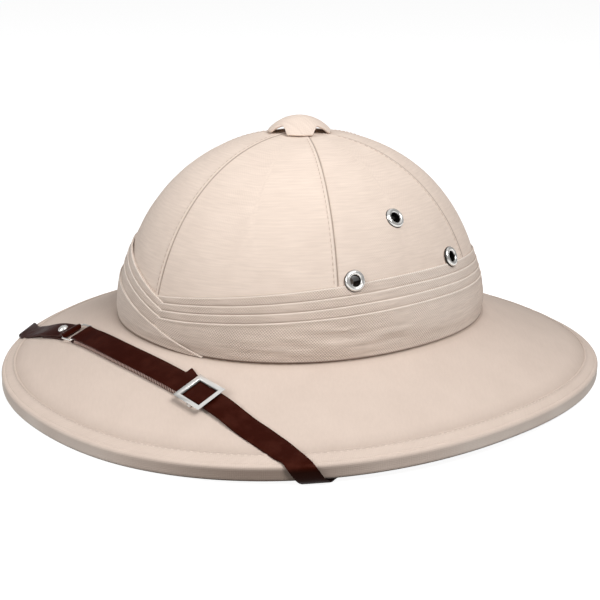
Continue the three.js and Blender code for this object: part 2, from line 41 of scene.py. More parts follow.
RAD = math.radians
TURN = 2 * math.pi

# The hat's main sizes, in millimetres. Angles run from the front of the hat towards its left side.
HAT_SHIFT = -2.7
RIM = {"front": 167.3, "back": 172.7, "side": 155.6}
FOOT = {"front": 101.8, "back": 106.8, "side": 94.9}
OVAL_POWER = 2.13
CROWN_SHIFT = -2.04
CROWN_TOP = 134.4
CROWN_INSET = 2.0
CROWN_WALL = 5.0
FOOT_HEIGHT = 34.4
FOOT_SIDE_RISE = 1.6
RISE_POWER = 1.98
ROUND_POWER = 2.22
GAP = 0.3
RIM_THICK = 8.0
SIDE_LIFT = 5.9
LIFT_SKEW = 0.12
REST_DEPTH = 0.35
CORNER = 1.5
BOARD = 5.0
BINDING_WIDTH = 7.8
BINDING_WALL = 1.2
REST_WIDTH = 6.0
LEATHER = 1.1
STRAP_WIDTH = 11.2
TAB_WIDTH = 12.6


def lerp(a, b, t):
    return a + (b - a) * t


def spaced(start, end, count):
    return [lerp(start, end, k / count) for k in range(count + 1)]


def clamp(t, low=0.0, high=1.0):
    return min(high, max(low, t))


def smooth(t):
    t = clamp(t)
    return t * t * (3 - 2 * t)


def bell(x, width):
    return math.exp(-(x / width) ** 2)


def ripple(x, y, z):
    return noise.noise(Vector((x, y, z)))


def ripple_round(angle, pace, z):
    """Noise that closes on itself round the hat."""
    return ripple(math.sin(angle) * pace, math.cos(angle) * pace, z)


def apart(angle, other=0.0):
    """Angle from one direction to another, between half a turn back and half a turn on."""
    return math.remainder(angle - other, TURN)


def polar(angle, radius, z):
    return Vector((radius * math.sin(angle), -radius * math.cos(angle), z))


def about_crown(angle, radius, z):
    return polar(angle, radius, z) + Vector((0, CROWN_SHIFT, 0))


def placed(point):
    """From the hat's own millimetres to metres in the scene."""
    return (point + Vector((0, HAT_SHIFT, 0))) * MM


def axes(at, *directions):
    """Matrix of a place and three directions."""
    return Matrix.Translation(at) @ Matrix(directions).transposed().to_4x4()


def oval(half, angle):
    end = half["front"] if math.cos(angle) > 0 else half["back"]
    across = abs(math.sin(angle)) / half["side"]
    along = abs(math.cos(angle)) / end
    return (across ** OVAL_POWER + along ** OVAL_POWER) ** (-1 / OVAL_POWER)


def rim_lift(angle):
    turn = abs(apart(angle))
    turn -= LIFT_SKEW * math.sin(turn)
    rise = SIDE_LIFT * math.sin(turn) ** 2 - REST_DEPTH
    return 0.5 * (rise + math.sqrt(rise * rise + 0.01))


def foot_z(angle):
    return FOOT_HEIGHT + FOOT_SIDE_RISE * math.sin(angle) ** 2


def brim_point(angle, inward, z):
    rim = polar(angle, oval(RIM, angle), z)
    foot = about_crown(angle, oval(FOOT, angle), z)
    return rim + (foot - rim).normalized() * inward


def brim_width(angle):
    rim = polar(angle, oval(RIM, angle), 0)
    return (about_crown(angle, oval(FOOT, angle), 0) - rim).length


def brim_top(angle, inward):
    t = (inward - CORNER) / (brim_width(angle) - CORNER)
    return lerp(rim_lift(angle) + RIM_THICK, foot_z(angle), clamp(t))


def crown_shrink(rise):
    return max(0.0, 1 - clamp(rise) ** RISE_POWER) ** (1 / ROUND_POWER)


def crown_reach(angle, rise):
    return (oval(FOOT, angle) - CROWN_INSET) * crown_shrink(rise)


def crown_radius(angle, z):
    base = foot_z(angle) + GAP
    return crown_reach(angle, (z - base) / (CROWN_TOP - base))


def on_crown(angle, z, out=0.0):
    return about_crown(angle, crown_radius(angle, z) + out, z)


# Mesh helpers. A skin starts as a flat grid and every one of its points is then moved to its place.
MERGE = 2e-6


def only(piece=None):
    bpy.ops.object.select_all(action="DESELECT")
    if piece:
        piece.select_set(True)
        bpy.context.view_layer.objects.active = piece


def primitive(kind, **sizes):
    only()
    getattr(bpy.ops.mesh, "primitive_%s_add" % kind)(**sizes)
    return bpy.context.object


def tidy_mesh(piece, caps=False):
    only(piece)
    bpy.ops.object.mode_set(mode="EDIT")
    bpy.ops.mesh.select_all(action="SELECT")
    bpy.ops.mesh.remove_doubles(threshold=MERGE)
    bpy.ops.mesh.dissolve_degenerate(threshold=1e-7)
    if caps:
        bpy.ops.mesh.select_all(action="DESELECT")
        bpy.ops.mesh.select_mode(type="EDGE")
        bpy.ops.mesh.select_non_manifold(extend=False, use_boundary=True, use_wire=False,
                                         use_multi_face=False, use_non_contiguous=False, use_verts=False)
        bpy.ops.mesh.edge_face_add()
    bpy.ops.mesh.select_all(action="SELECT")
    bpy.ops.mesh.normals_make_consistent(inside=False)
    bpy.ops.mesh.select_mode(type="VERT")
    bpy.ops.object.mode_set(mode="OBJECT")
    return piece


def skin(name, grid, uv=None, caps=False, shade=None):
    across, along = len(grid) - 1, len(grid[0]) - 1
    piece = primitive("grid", x_subdivisions=across, y_subdivisions=along, size=2)
    piece.name = name
    mesh = piece.data
    spots = [(round((v.co.x + 1) / 2 * across), round((v.co.y + 1) / 2 * along)) for v in mesh.vertices]
    for vertex, (i, j) in zip(mesh.vertices, spots):
        vertex.co = placed(grid[i][j])
    if shade:
        marks = mesh.attributes.new("shade", "FLOAT", "POINT")
        for vertex, (i, j) in zip(mesh.vertices, spots):
            marks.data[vertex.index].value = shade[i][j]
    uv = uv or flat_uv(grid)
    layer = mesh.uv_layers[0]
    for loop in mesh.loops:
        i, j = spots[loop.vertex_index]
        layer.data[loop.index].uv = Vector(uv[i][j]) * MM
    return tidy_mesh(piece, caps)


def lengths(points):
    total, out = 0.0, [0.0]
    for a, b in zip(points, points[1:]):
        total += (b - a).length
        out.append(total)
    return out


def flat_uv(grid):
    """UV in millimetres: along the columns, and up each one's profile."""
    across = lengths([column[len(column) // 2] for column in grid])
    return [[(across[i], up) for up in lengths(column)] for i, column in enumerate(grid)]


def apply(piece, kind, **settings):
    only(piece)
    modifier = piece.modifiers.new(kind.lower(), kind)
    for key, value in settings.items():
        setattr(modifier, key, value)
    bpy.ops.object.modifier_apply(modifier=modifier.name)
    return piece


def carve(piece, cutter):
    apply(piece, "BOOLEAN", operation="DIFFERENCE", solver="EXACT", object=cutter)
    bpy.data.objects.remove(cutter)


def soften(piece, angle=40):
    only(piece)
    bpy.ops.object.shade_smooth_by_angle(angle=RAD(angle))
    return piece


def dress(piece, material, slot, *nodes):
    piece.data.materials.clear()
    piece.data.materials.append(material)
    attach(piece, "root")
    if nodes:
        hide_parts(*nodes)
    return piece


def join(pieces, name):
    only(pieces[0])
    for piece in pieces:
        piece.select_set(True)
    if len(pieces) > 1:
        bpy.ops.object.join()
    pieces[0].name = name
    return pieces[0]


# Shader helpers. A node takes its sockets as values or as other nodes' outputs.
def put(tree, kind, sockets, **settings):
    made = tree.nodes.new("ShaderNode" + kind)
    made.location = (200 * (len(tree.nodes) % 8), -280 * (len(tree.nodes) // 8))
    for key, value in settings.items():
        setattr(made, key, value)
    for key, value in sockets.items():
        if isinstance(value, bpy.types.NodeSocket):
            tree.links.new(value, made.inputs[key])
        else:
            made.inputs[key].default_value = value
    return made


def work(tree, operation, *values):
    return put(tree, "Math", dict(enumerate(values)), operation=operation).outputs[0]


def mixed(tree, share, colour, other):
    """A mix of two colours. The second is always three numbers."""
    first = colour if isinstance(colour, bpy.types.NodeSocket) else (*colour, 1)
    ends = {"Factor": share, "A": first, "B": (*other, 1)}
    return put(tree, "Mix", ends, data_type="RGBA", clamp_factor=True).outputs["Result"]


def spread(tree, value, low, high, start=0.0, end=1.0):
    ends = {"Value": value, "From Min": low, "From Max": high, "To Min": start, "To Max": end}
    return put(tree, "MapRange", ends).outputs["Result"]


def cloudy(tree, place, scale, detail, roughness):
    sockets = {"Vector": place, "Scale": scale, "Detail": detail, "Roughness": roughness}
    return put(tree, "TexNoise", sockets).outputs["Fac"]


def dotted(tree, place, pitch):
    """Two crossing waves, from -1 to 1."""
    split = put(tree, "SeparateXYZ", {0: place}).outputs
    waves = []
    for axis in "XY":
        turns = work(tree, "DIVIDE", split[axis], pitch)
        waves.append(work(tree, "SINE", work(tree, "MULTIPLY", turns, TURN)))
    return work(tree, "MULTIPLY", *waves)


def new_group(name, numbers, results):
    """A group that takes a place in metres, and numbers. The place is returned in millimetres."""
    tree = bpy.data.node_groups.new(name, "ShaderNodeTree")
    tree.interface.new_socket("Place", in_out="INPUT", socket_type="NodeSocketVector")
    for label, value in numbers.items():
        socket = tree.interface.new_socket(label, in_out="INPUT", socket_type="NodeSocketFloat")
        socket.default_value = value
    for label in results:
        tree.interface.new_socket(label, in_out="OUTPUT", socket_type="NodeSocketFloat")
    given = tree.nodes.new("NodeGroupInput").outputs
    place = put(tree, "VectorMath", {0: given["Place"], "Scale": 1 / MM}, operation="SCALE").outputs[0]
    return tree, given, place


def close_group(tree, **results):
    end = tree.nodes.new("NodeGroupOutput")
    for label, value in results.items():
        tree.links.new(value, end.inputs[label])
    return tree


def weave_group():
    """Plain ribbed cotton: fine crossing threads, thicker slubs along the rib, and soft mottling."""
    tree, given, place = new_group("cotton_weave", {"Pitch": 0.6, "Slub": 1.0}, ("Height", "Tone"))
    crossing = dotted(tree, place, given["Pitch"])
    stretched = put(tree, "Mapping", {"Vector": place, "Scale": (0.07, 0.9, 0.9)}).outputs[0]
    centred = work(tree, "SUBTRACT", cloudy(tree, stretched, 1.0, 3.0, 0.6), 0.5)
    slubs = work(tree, "MULTIPLY", centred, given["Slub"])
    drift = work(tree, "SUBTRACT", cloudy(tree, place, 0.06, 2.0, 0.5), 0.5)
    mottled = work(tree, "MULTIPLY_ADD", drift, 0.5, slubs)
    return close_group(tree, Height=work(tree, "MULTIPLY_ADD", crossing, 0.25, slubs),
                       Tone=work(tree, "MULTIPLY_ADD", crossing, 0.12, mottled))


def twill_group():
    """Diagonal twill: rows of small raised dots that come and go over the cloth."""
    tree, given, place = new_group("diagonal_twill", {"Pitch": 1.45}, ("Dots",))
    turned = put(tree, "Mapping", {"Vector": place, "Rotation": (0, 0, RAD(4))}).outputs[0]
    dots = dotted(tree, turned, given["Pitch"])
    patches = spread(tree, cloudy(tree, place, 0.05, 1.0, 0.5), 0.34, 0.56)
    return close_group(tree, Dots=work(tree, "MULTIPLY", dots, patches))


def grain_group():
    """Leather grain: small rounded cells with finer creases, and worn lighter spots."""
    tree, given, place = new_group("leather_grain", {"Cell": 0.9}, ("Height", "Wear"))
    density = work(tree, "DIVIDE", 1.0, given["Cell"])
    cells = put(tree, "TexVoronoi", {"Vector": place, "Scale": density, "Smoothness": 0.5},
                feature="SMOOTH_F1").outputs["Distance"]
    height = work(tree, "MULTIPLY_ADD", cells, -0.6, cloudy(tree, place, 3.0, 4.0, 0.6))
    wear = spread(tree, cloudy(tree, place, 0.12, 3.0, 0.6), 0.45, 0.75)
    return close_group(tree, Height=height, Wear=wear)


WEAVE = weave_group()
TWILL = twill_group()
GRAIN = grain_group()
BUMP = 0.6

# Colours mixed into the cloth: painted shade in creases, grooves and under other parts, and painted highlight
# on edges that catch the light.
PAINTED_SHADE = (0.20, 0.135, 0.10)
PAINTED_HIGHLIGHT = (1.0, 0.92, 0.84)


def new_material(name, **values):
    material = bpy.data.materials.new(name)
    material.use_nodes = True
    tree = material.node_tree
    sockets = tree.nodes["Principled BSDF"].inputs
    for key, value in values.items():
        sockets[key.replace("_", " ")].default_value = value
    return material, tree, sockets


def marked(tree, times):
    """The piece's shade attribute times a number."""
    marks = put(tree, "Attribute", {}, attribute_name="shade").outputs["Fac"]
    return work(tree, "MULTIPLY", marks, times)


def finish_shader(tree, sockets, colour, height, depth):
    tree.links.new(colour, sockets["Base Color"])
    bump = put(tree, "Bump", {"Strength": BUMP, "Distance": depth * MM, "Height": height})
    tree.links.new(bump.outputs[0], sockets["Normal"])


def cloth_material(name, pale, dark, use_uv=True, pitch=0.6, slub=1.0, depth=0.06, turn=0.0, twill=0.0,
                   painted_light=True):
    """Cotton cloth. Below 0 the shade attribute paints shade into creases and grooves, above 0 it paints
    highlights on edges.
    """
    material, tree, sockets = new_material(name, Roughness=0.9, Sheen_Weight=0.08, Sheen_Roughness=0.5,
                                           Specular_IOR_Level=0.15)
    place = put(tree, "TexCoord", {}).outputs["UV" if use_uv else "Object"]
    place = put(tree, "Mapping", {"Vector": place, "Rotation": (0, 0, RAD(turn))}).outputs[0]
    weave = put(tree, "Group", {"Place": place, "Pitch": pitch, "Slub": slub}, node_tree=WEAVE).outputs
    tone, height = work(tree, "ADD", weave["Tone"], 0.5), weave["Height"]
    if twill:
        dots = put(tree, "Group", {"Place": place}, node_tree=TWILL).outputs["Dots"]
        tone, height = [work(tree, "MULTIPLY_ADD", dots, twill, value) for value in (tone, height)]
    colour = mixed(tree, tone, dark, pale)
    if painted_light:
        # Painted shade where the shade attribute is below 0, painted highlight where it is above 0.
        for times, tint in ((-0.8, PAINTED_SHADE), (0.5, PAINTED_HIGHLIGHT)):
            colour = mixed(tree, marked(tree, times), colour, tint)
    finish_shader(tree, sockets, colour, height, depth)
    return material


def leather_material(name, colour, worn, roughness, depth=0.05):
    """Leather. Below 0 the shade attribute paints shade into it."""
    material, tree, sockets = new_material(name, Specular_IOR_Level=0.1, Specular_Tint=(1.0, 0.36, 0.25, 1))
    place = put(tree, "TexCoord", {}).outputs["Object"]
    grain = put(tree, "Group", {"Place": place}, node_tree=GRAIN).outputs
    wear = grain["Wear"]
    rubbed = mixed(tree, wear, colour, worn)
    # Painted shade, towards near black, where the shade attribute is below 0.
    shaded = mixed(tree, marked(tree, -1), rubbed, (0.002, 0.0006, 0.0004))
    tree.links.new(work(tree, "MULTIPLY_ADD", wear, 0.15, roughness), sockets["Roughness"])
    finish_shader(tree, sockets, shaded, grain["Height"], depth)
    return material


def nickel_material(name):
    """Bright plate. Below 0 the shade attribute darkens it: painted shade, and on the eyelets a slightly
    greyer plate all over.
    """
    material, tree, sockets = new_material(name, Metallic=0.62)
    place = put(tree, "TexCoord", {}).outputs["Object"]
    spots = cloudy(tree, place, 140.0, 3.0, 0.5)
    plate = mixed(tree, spots, (0.97, 0.96, 0.94), (0.88, 0.86, 0.82))
    # Painted shade where the shade attribute is below 0.
    tree.links.new(mixed(tree, marked(tree, -1), plate, (0.02, 0.018, 0.016)), sockets["Base Color"])
    tree.links.new(spread(tree, spots, 0.35, 0.7, 0.12, 0.24), sockets["Roughness"])
    return material


def shaded_metal(piece, where):
    """Marks the points of a metal piece that are painted dark, mostly with painted shade. Called while it
    still lies at its own origin.
    """
    marks = piece.data.attributes.new("shade", "FLOAT", "POINT")
    for vertex in piece.data.vertices:
        marks.data[vertex.index].value = where(vertex.co / MM)
    return piece


PALE = (0.88, 0.742, 0.642)
DARK = (0.70, 0.575, 0.49)
BRIM_PALE = (0.71, 0.59, 0.51)
BRIM_DARK = (0.59, 0.48, 0.41)
# The band is darker than the crown's cloth, partly by painted shade among its folds.
WRAP_PALE = (0.83, 0.692, 0.598)
WRAP_DARK = (0.53, 0.425, 0.356)
CROWN_CLOTH = cloth_material("crown_cloth", PALE, DARK, slub=1.15, twill=0.14)
BRIM_CLOTH = cloth_material("brim_cloth", BRIM_PALE, BRIM_DARK, use_uv=False, slub=0.5, turn=35)
BINDING_CLOTH = cloth_material("binding_cloth", BRIM_PALE, BRIM_DARK, slub=0.7, pitch=1.2, depth=0.12,
                               turn=45, twill=0.15)
WRAP_CLOTH = cloth_material("wrap_cloth", WRAP_PALE, WRAP_DARK, slub=1.2, depth=0.16, twill=1.0)
THREADS = [("thread", (0.90, 0.78, 0.69), DARK, 0.4),
           ("seam_thread", (0.62, 0.49, 0.41), (0.5, 0.38, 0.31), 0.4),
           ("edge_thread", (0.62, 0.47, 0.41), (0.36, 0.22, 0.18), 1.5)]
PALE_THREAD, SEAM_THREAD, EDGE_THREAD = [cloth_material(*colours, use_uv=False, slub=slub, painted_light=False)
                                         for *colours, slub in THREADS]
STRAP_LEATHER = leather_material("strap_leather", (0.027, 0.0036, 0.0016), (0.046, 0.010, 0.006), 0.38)
NICKEL = nickel_material("bright_nickel")


# Crown: six gores. A felled seam lies between each two, turned towards the front and topstitched.
SEAMS = [RAD(1.3 + 60 * k) for k in range(-3, 3)]
SEAM_STEPS = [-0.001, 0.25, 0.55, 1.0, 1.7, 2.6, 3.6, 5.0, 7.5, 11.0, 16.0, 22.0, 29.0, 37.0]
SEAM_FELL = 2.7
TOPSTITCH = 2.0
CROWN_ROWS = 96
SEAM_END = 3
SEAM_FADE = 9


def seam_relief(offset):
    """Height over the plain crown at a distance from a seam. Positive is behind it."""
    groove = -0.34 * bell(offset, 0.34)
    if offset > 0:
        return groove + 0.10 * bell(offset - 0.8, 0.6)
    fell = 0.30 * smooth((SEAM_FELL + 0.7 + offset) / 1.4)
    stitched = -0.12 * bell(offset + TOPSTITCH, 0.3)
    return groove + fell + stitched


def seam_shade(seam, offset, rise):
    """Painted shade along a seam's groove, stronger and fainter by turns, and along its topstitching, with a
    painted highlight on the rib where the fell lies.
    """
    facing = 0.9 + 0.4 * (math.sin(seam) > 0 > math.cos(seam))
    line = bell(offset, 0.42 * facing / 0.9) * (facing + 0.3 * ripple(offset, rise * 9, 4.0))
    stitched = 0.22 * bell(offset + TOPSTITCH, 0.35)
    rib = 0.25 * bell(offset + 1.1, 0.5)
    return -line * smooth(rise / 0.1 + 0.3) - stitched + rib


def crown_surface(angle, rise, out=0.0):
    z = lerp(foot_z(angle) + GAP, CROWN_TOP, rise)
    flat = crown_reach(angle, rise)
    slope = math.sqrt(max(0.0, 1 - (flat / oval(FOOT, angle)) ** 2))
    return about_crown(angle, flat + out * math.sqrt(max(0.0, 1 - slope * slope)), z + out * slope)


def crown_piece():
    columns = []
    last = len(SEAM_STEPS) - 0.5
    steps = [(step, i / last) for i, step in enumerate(SEAM_STEPS)]
    for seam, following in zip(SEAMS, SEAMS[1:] + [SEAMS[0] + TURN]):
        half = (following - seam) / 2
        columns += [(seam, 1, step, share, half) for step, share in steps]
        columns += [(following, -1, step, share, half) for step, share in steps[:0:-1]]
    columns.append((SEAMS[0] + TURN, 1, SEAM_STEPS[0], 0, TURN / 12))
    grid, uv, shade = [], [], []
    for seam, side, step, share, half in columns:
        column, spots, marks = [], [], []
        for j in range(CROWN_ROWS + 1):
            rise = math.sin(j / CROWN_ROWS * math.pi / 2)
            radius = max(1e-6, crown_reach(seam, rise))
            offset = side * min(max(step, 0), share * half * radius)
            angle = seam + offset / radius
            fade = smooth((radius - SEAM_END) / SEAM_FADE)
            waver = 0.12 * ripple_round(angle, 3, rise * 4)
            column.append(crown_surface(angle, rise, (seam_relief(offset) + waver) * fade))
            spots.append(offset + (0 if side > 0 else 100))
            marks.append(seam_shade(seam, offset, rise) * fade)
        grid.append(column)
        uv.append(list(zip(spots, lengths(column))))
        shade.append(marks)
    piece = skin("crown_cloth_shell", grid, uv, shade=shade)
    apply(piece, "SOLIDIFY", thickness=CROWN_WALL * MM, offset=-1.0, use_even_offset=False)
    carve(piece, eyelet_drills(CROWN_HOLE, EYELETS))
    dress(soften(piece, 50), CROWN_CLOTH, "cloth", "crown")


# Eyelets: angle, height, and how far the flange stands off the crown.
EYELETS = [(RAD(66.8), 73.9, 1.25), (RAD(89.9), 99.3, 0.25), (RAD(111.7), 75.7, 1.25)]
BARREL, FLANGE_CREST, FLANGE_EDGE = 2.6, 4.15, 5.5
EYELET_STEP = 0.5
CROWN_HOLE, WRAP_HOLE = 4.0, 4.6


def eyelet_matrix(angle, z):
    at = on_crown(angle, z)
    up = on_crown(angle, z + EYELET_STEP) - at
    along = on_crown(angle + EYELET_STEP / crown_radius(angle, z), z) - at
    out = along.cross(up).normalized()
    side = up.cross(out).normalized()
    return axes(placed(at), side, up.normalized(), out)


def eyelet_drills(radius, eyelets):
    """Cutters for the eyelets' holes, on both sides of the hat."""
    cutters = []
    for angle, z, _ in eyelets:
        for side in (1, -1):
            cutters.append(primitive("cylinder", vertices=32, radius=radius * MM, depth=20 * MM))
            cutters[-1].data.transform(eyelet_matrix(angle * side, z))
    return join(cutters, "eyelet_drills")


def turned_piece(name, profile, place, steps=48, dark=None):
    """A profile of radius and height, spun round an axis and set at its place."""
    piece = primitive("plane", size=MM)
    piece.name = name
    mesh = piece.data
    mesh.clear_geometry()
    edges = [(i, i + 1) for i in range(len(profile) - 1)]
    mesh.from_pydata([(r * MM, 0, z * MM) for r, z in profile], edges, [])
    only(piece)
    bpy.ops.object.mode_set(mode="EDIT")
    bpy.ops.mesh.select_all(action="SELECT")
    bpy.ops.mesh.spin(steps=steps, angle=TURN, center=(0, 0, 0), axis=(0, 0, 1))
    bpy.ops.object.mode_set(mode="OBJECT")
    tidy_mesh(piece)
    if dark:
        shaded_metal(piece, dark)
    mesh.transform(place)
    return soften(piece, 50)


def round_profile(points, radius, steps=4):
    """Rounds the inner corners of an open chain of radius and height pairs."""
    out = [points[0]]
    for before, at, after in zip(points, points[1:], points[2:]):
        a, b, c = Vector(before), Vector(at), Vector(after)
        reach = min(radius, (a - b).length * 0.45, (c - b).length * 0.45)
        start, end = b + (a - b).normalized() * reach, b + (c - b).normalized() * reach
        for k in range(steps + 1):
            t = k / steps
            out.append(tuple(start * (1 - t) ** 2 + b * 2 * t * (1 - t) + end * t ** 2))
    out.append(points[-1])
    return out


def eyelet_piece(name, angle, z, seat):
    inside = -CROWN_WALL - 1.1
    profile = [(BARREL, inside - 0.6), (BARREL, seat + 0.1), (3.2, seat + 0.95), (FLANGE_CREST, seat + 1.2),
               (4.9, seat + 0.85), (FLANGE_EDGE - 0.1, seat + 0.1), (FLANGE_EDGE, seat - 0.5),
               (FLANGE_EDGE - 0.2, seat - 0.9), (3.6, seat - 0.9), (3.6, inside), (4.7, inside),
               (4.6, inside - 0.5), (3.4, inside - 0.8), (BARREL, inside - 0.6)]

    # Painted shade inside the barrel and a painted dark outline round the flange's edge, on a plate a little
    # darker all over.
    def dark(at):
        radius = math.hypot(at.x, at.y)
        barrel = smooth((3.3 - radius) / 0.5) * smooth((seat + 0.9 - at.z) / 0.5)
        return -max(0.12, barrel, smooth((radius - 5.15) / 0.25))
    piece = turned_piece(name, round_profile(profile, 0.5, 3), eyelet_matrix(angle, z), dark=dark)
    dress(piece, NICKEL, "nickel", name)


# Brim: the board with its two covers, drawn tight, and the binding round its edge. The rim's outer side is
# painted lighter, and painted shade darkens it at the front left.
BRIM_COLUMNS = 288
BRIM_ROWS = 14
UNDER_ROWS = 9
# Painted light on the rim's outer side, and painted shade on it at the front left.
RIM_SIDE_LIGHT = 0.8
RIM_FRONT_SHADE = -0.9
RIM_SHADE_AT = RAD(43)
RIM_SHADE_SPAN = RAD(24)


def ring_angles(columns):
    return [TURN * i / columns for i in range(columns + 1)]


def brim_sag(angle, inward):
    t = inward / brim_width(angle)
    return 0.35 * ripple_round(angle, 2.2, t * 1.5 + 7) * math.sin(math.pi * clamp(t))


def brim_marks(angle):
    """Painted shade up the top: a painted contact shadow at the foot, painted shade at the hat's right side,
    and a painted shadow line by the binding.
    """
    dim = 0.6 * bell(apart(angle, RAD(-80)), RAD(42))
    contact = lerp(0.6, 1.2, bell(apart(angle, RAD(15)), RAD(60)))
    fading = [-dim * (1 - k / BRIM_ROWS) for k in range(1, BRIM_ROWS)]
    fading[0] -= 0.12
    return [-contact, -0.85 * contact, -0.35 * contact - dim, *fading, -0.1, -0.3]


def brim_piece():
    grid, shade = [], []
    sunk = BINDING_WALL + GAP
    edge = BINDING_WIDTH - 0.4
    for angle in ring_angles(BRIM_COLUMNS):
        level = foot_z(angle)
        inner = oval(FOOT, angle) - CROWN_INSET - CROWN_WALL
        width = brim_width(angle)
        lift = rim_lift(angle)

        def board(inward, drop=0):
            return brim_point(angle, inward, brim_top(angle, inward) - drop + brim_sag(angle, inward))
        top = [width, width - 0.5, width - 1.6, *spaced(width, edge, BRIM_ROWS)[1:]]
        under = spaced(edge + BOARD, width, UNDER_ROWS)
        hidden = [(edge, brim_top(angle, edge) - sunk), (sunk + 1, brim_top(angle, sunk) - sunk - 0.2),
                  (sunk, lift + RIM_THICK - sunk - 1.2), (sunk, lift + sunk + 0.5), (REST_WIDTH, lift + sunk),
                  (edge, brim_top(angle, edge) - BOARD - sunk)]
        column = [about_crown(angle, inner, level), *[board(inward) for inward in top],
                  *[brim_point(angle, inward, z) for inward, z in hidden],
                  *[board(inward, BOARD) for inward in under],
                  about_crown(angle, inner, level - BOARD), about_crown(angle, inner, level)]
        grid.append(column)
        marks = brim_marks(angle)
        shade.append(marks + [0] * (len(column) - len(marks)))
    piece = skin("brim_board", grid, shade=shade)
    dress(soften(piece, 35), BRIM_CLOTH, "cloth", "brim")


def arc(radius, steps):
    """A quarter turn's points, across and then along."""
    turns = [math.pi / 2 * k / steps for k in range(steps + 1)]
    return [(radius * math.sin(turn), radius * math.cos(turn)) for turn in turns]


def binding_piece():
    """The channel's outer face, rounded over the rim, with its inner edges folded under."""
    grid, shade = [], []
    proud, wall, upper, lower = 0.24, BINDING_WALL, 2.0, 1.6
    for angle in ring_angles(BRIM_COLUMNS):
        lift = rim_lift(angle)
        top = brim_top(angle, BINDING_WIDTH)
        under = top - RIM_THICK
        pucker = 0.10 * ripple_round(angle, 60, 0)
        outline = [(BINDING_WIDTH - 0.1, top - wall), (BINDING_WIDTH, top + proud * 0.4),
                   (BINDING_WIDTH - 0.35, top + proud), (BINDING_WIDTH - 1.2, top + proud * 0.8 + pucker)]
        for share in (0.78, 0.65, 0.52, 0.4, 0.3):
            inward = BINDING_WIDTH * share
            wave = 0.5 * pucker * math.sin(math.pi * share)
            outline.append((inward, brim_top(angle, inward) + proud * inward / BINDING_WIDTH * 0.6 + wave))
        outline += [(upper - x, lift + RIM_THICK - upper + y) for x, y in arc(upper, 6)]
        outline += [(0.05 + pucker * 0.6, lift + z) for z in (5.2, 4.4, 3.4, 2.4)]
        outline += [(lower - y, lift + lower - x) for x, y in arc(lower, 5)]
        outline += [(REST_WIDTH, lift), (BINDING_WIDTH - 0.3, under - 0.1),
                    (BINDING_WIDTH, under + 0.4), (BINDING_WIDTH - 0.1, under + wall),
                    (REST_WIDTH, lift + wall), (wall, lift + wall + 0.4),
                    (wall, lift + RIM_THICK - wall - 0.6), (wall + 0.8, lift + RIM_THICK - wall),
                    (BINDING_WIDTH - 0.1, top - wall)]
        grid.append([brim_point(angle, inward, z) for inward, z in outline])
        # Painted shadow along the seam with the brim, the rim's outer side painted lighter, unevenly, and
        # painted shade on it at the front left.
        side = RIM_SIDE_LIGHT * (0.8 + 0.5 * ripple_round(angle, 9, 2))
        side = lerp(side, RIM_FRONT_SHADE, bell(apart(angle, RIM_SHADE_AT), RIM_SHADE_SPAN))
        shade.append([-0.7, -0.45, 0, -0.18, *[0] * 8, *[side * k / 4 for k in range(5)],
                      *[side] * (len(outline) - 18), -0.9])
    piece = skin("brim_binding_cloth", grid, shade=shade)
    dress(soften(piece, 35), BINDING_CLOTH, "cloth", "brim_binding")


# Puggaree. Heights of the pleat lines at the sides, with their drop to the front and back, and how much the
# right half rises at the front. The band is one strip that starts under the crossing, runs round by the back
# and ends over its own start.
PLEATS = [(73.8, 15.0, 10.0, 1.7), (68.6, 13.0, 9.0, 2.3), (63.8, 11.7, 8.0, 1.4), (59.1, 10.7, 7.0, -1.3)]
CROSSING = RAD(5)
SWEEP = RAD(45)
TAIL_CROSSING = 43.7
TAIL_START = RAD(-75)
TAIL_END = RAD(21.5)
WRAP_START = RAD(-7)
WRAP_END = RAD(365)
WRAP_STEPS = 440
TAIL_STEPS = 150
BAND_ROWS = 16
TAIL_ROWS = 11
FOOT_TUCK = 0.75

# A fold's edge, from the face below it to the groove above it: height from the line, step out, and shade,
# which is a painted highlight on the edge above 0 and painted shade in the groove below 0.
FOLD = [(-0.95, 0.12, 0), (-0.55, 0.14, 0.25), (-0.22, 0.12, 0.75), (0, -0.02, 0.45), (0.06, -0.26, -0.55),
        (0.16, -0.36, -0.75), (0.5, -0.32, -0.35), (0.9, -0.26, 0)]

# Painted shade along the foot of the band, where it meets the brim: height over the foot, and shade.
FOOT_SHADE = [(0, -1.2), (0.5, -1.2), (0.85, -0.45)]


def left_pleat(number, angle):
    side, front, back, _ = PLEATS[number]
    drop = front if math.cos(angle) > 0 else back
    return side - drop * (1 - abs(math.sin(angle)))


def right_pleat(number, angle):
    side, _, back, rise = PLEATS[number]
    low = left_pleat(number + 1, CROSSING) if number + 1 < len(PLEATS) else TAIL_CROSSING
    drop = 0 if math.cos(angle) > 0 else back * (1 - abs(math.sin(angle)))
    high = side - drop + rise * smooth(1 + math.cos(angle))
    reach = clamp((CROSSING - angle) / SWEEP)
    return lerp(high, low, (1 - reach) ** 1.5)


def tail_height(angle):
    if angle < CROSSING:
        return right_pleat(3, angle)
    t = (angle - CROSSING) / (TAIL_END - CROSSING)
    return lerp(TAIL_CROSSING, foot_z(angle) + 2 * GAP, t)


def band_wrinkle(angle, z, reach):
    """Soft creases that run along the lower band, strongest at the front left."""
    turn = apart(angle)
    place = Vector((turn * 3.2, (z - 45) * 0.33, 3.0))
    long_folds = 0.55 * noise.noise(place) + 0.25 * noise.noise(place * 2.1)
    front = 0.5 + 2.2 * bell(turn - RAD(62), RAD(24))
    return long_folds * front * math.sin(math.pi * clamp(reach)) ** 0.7


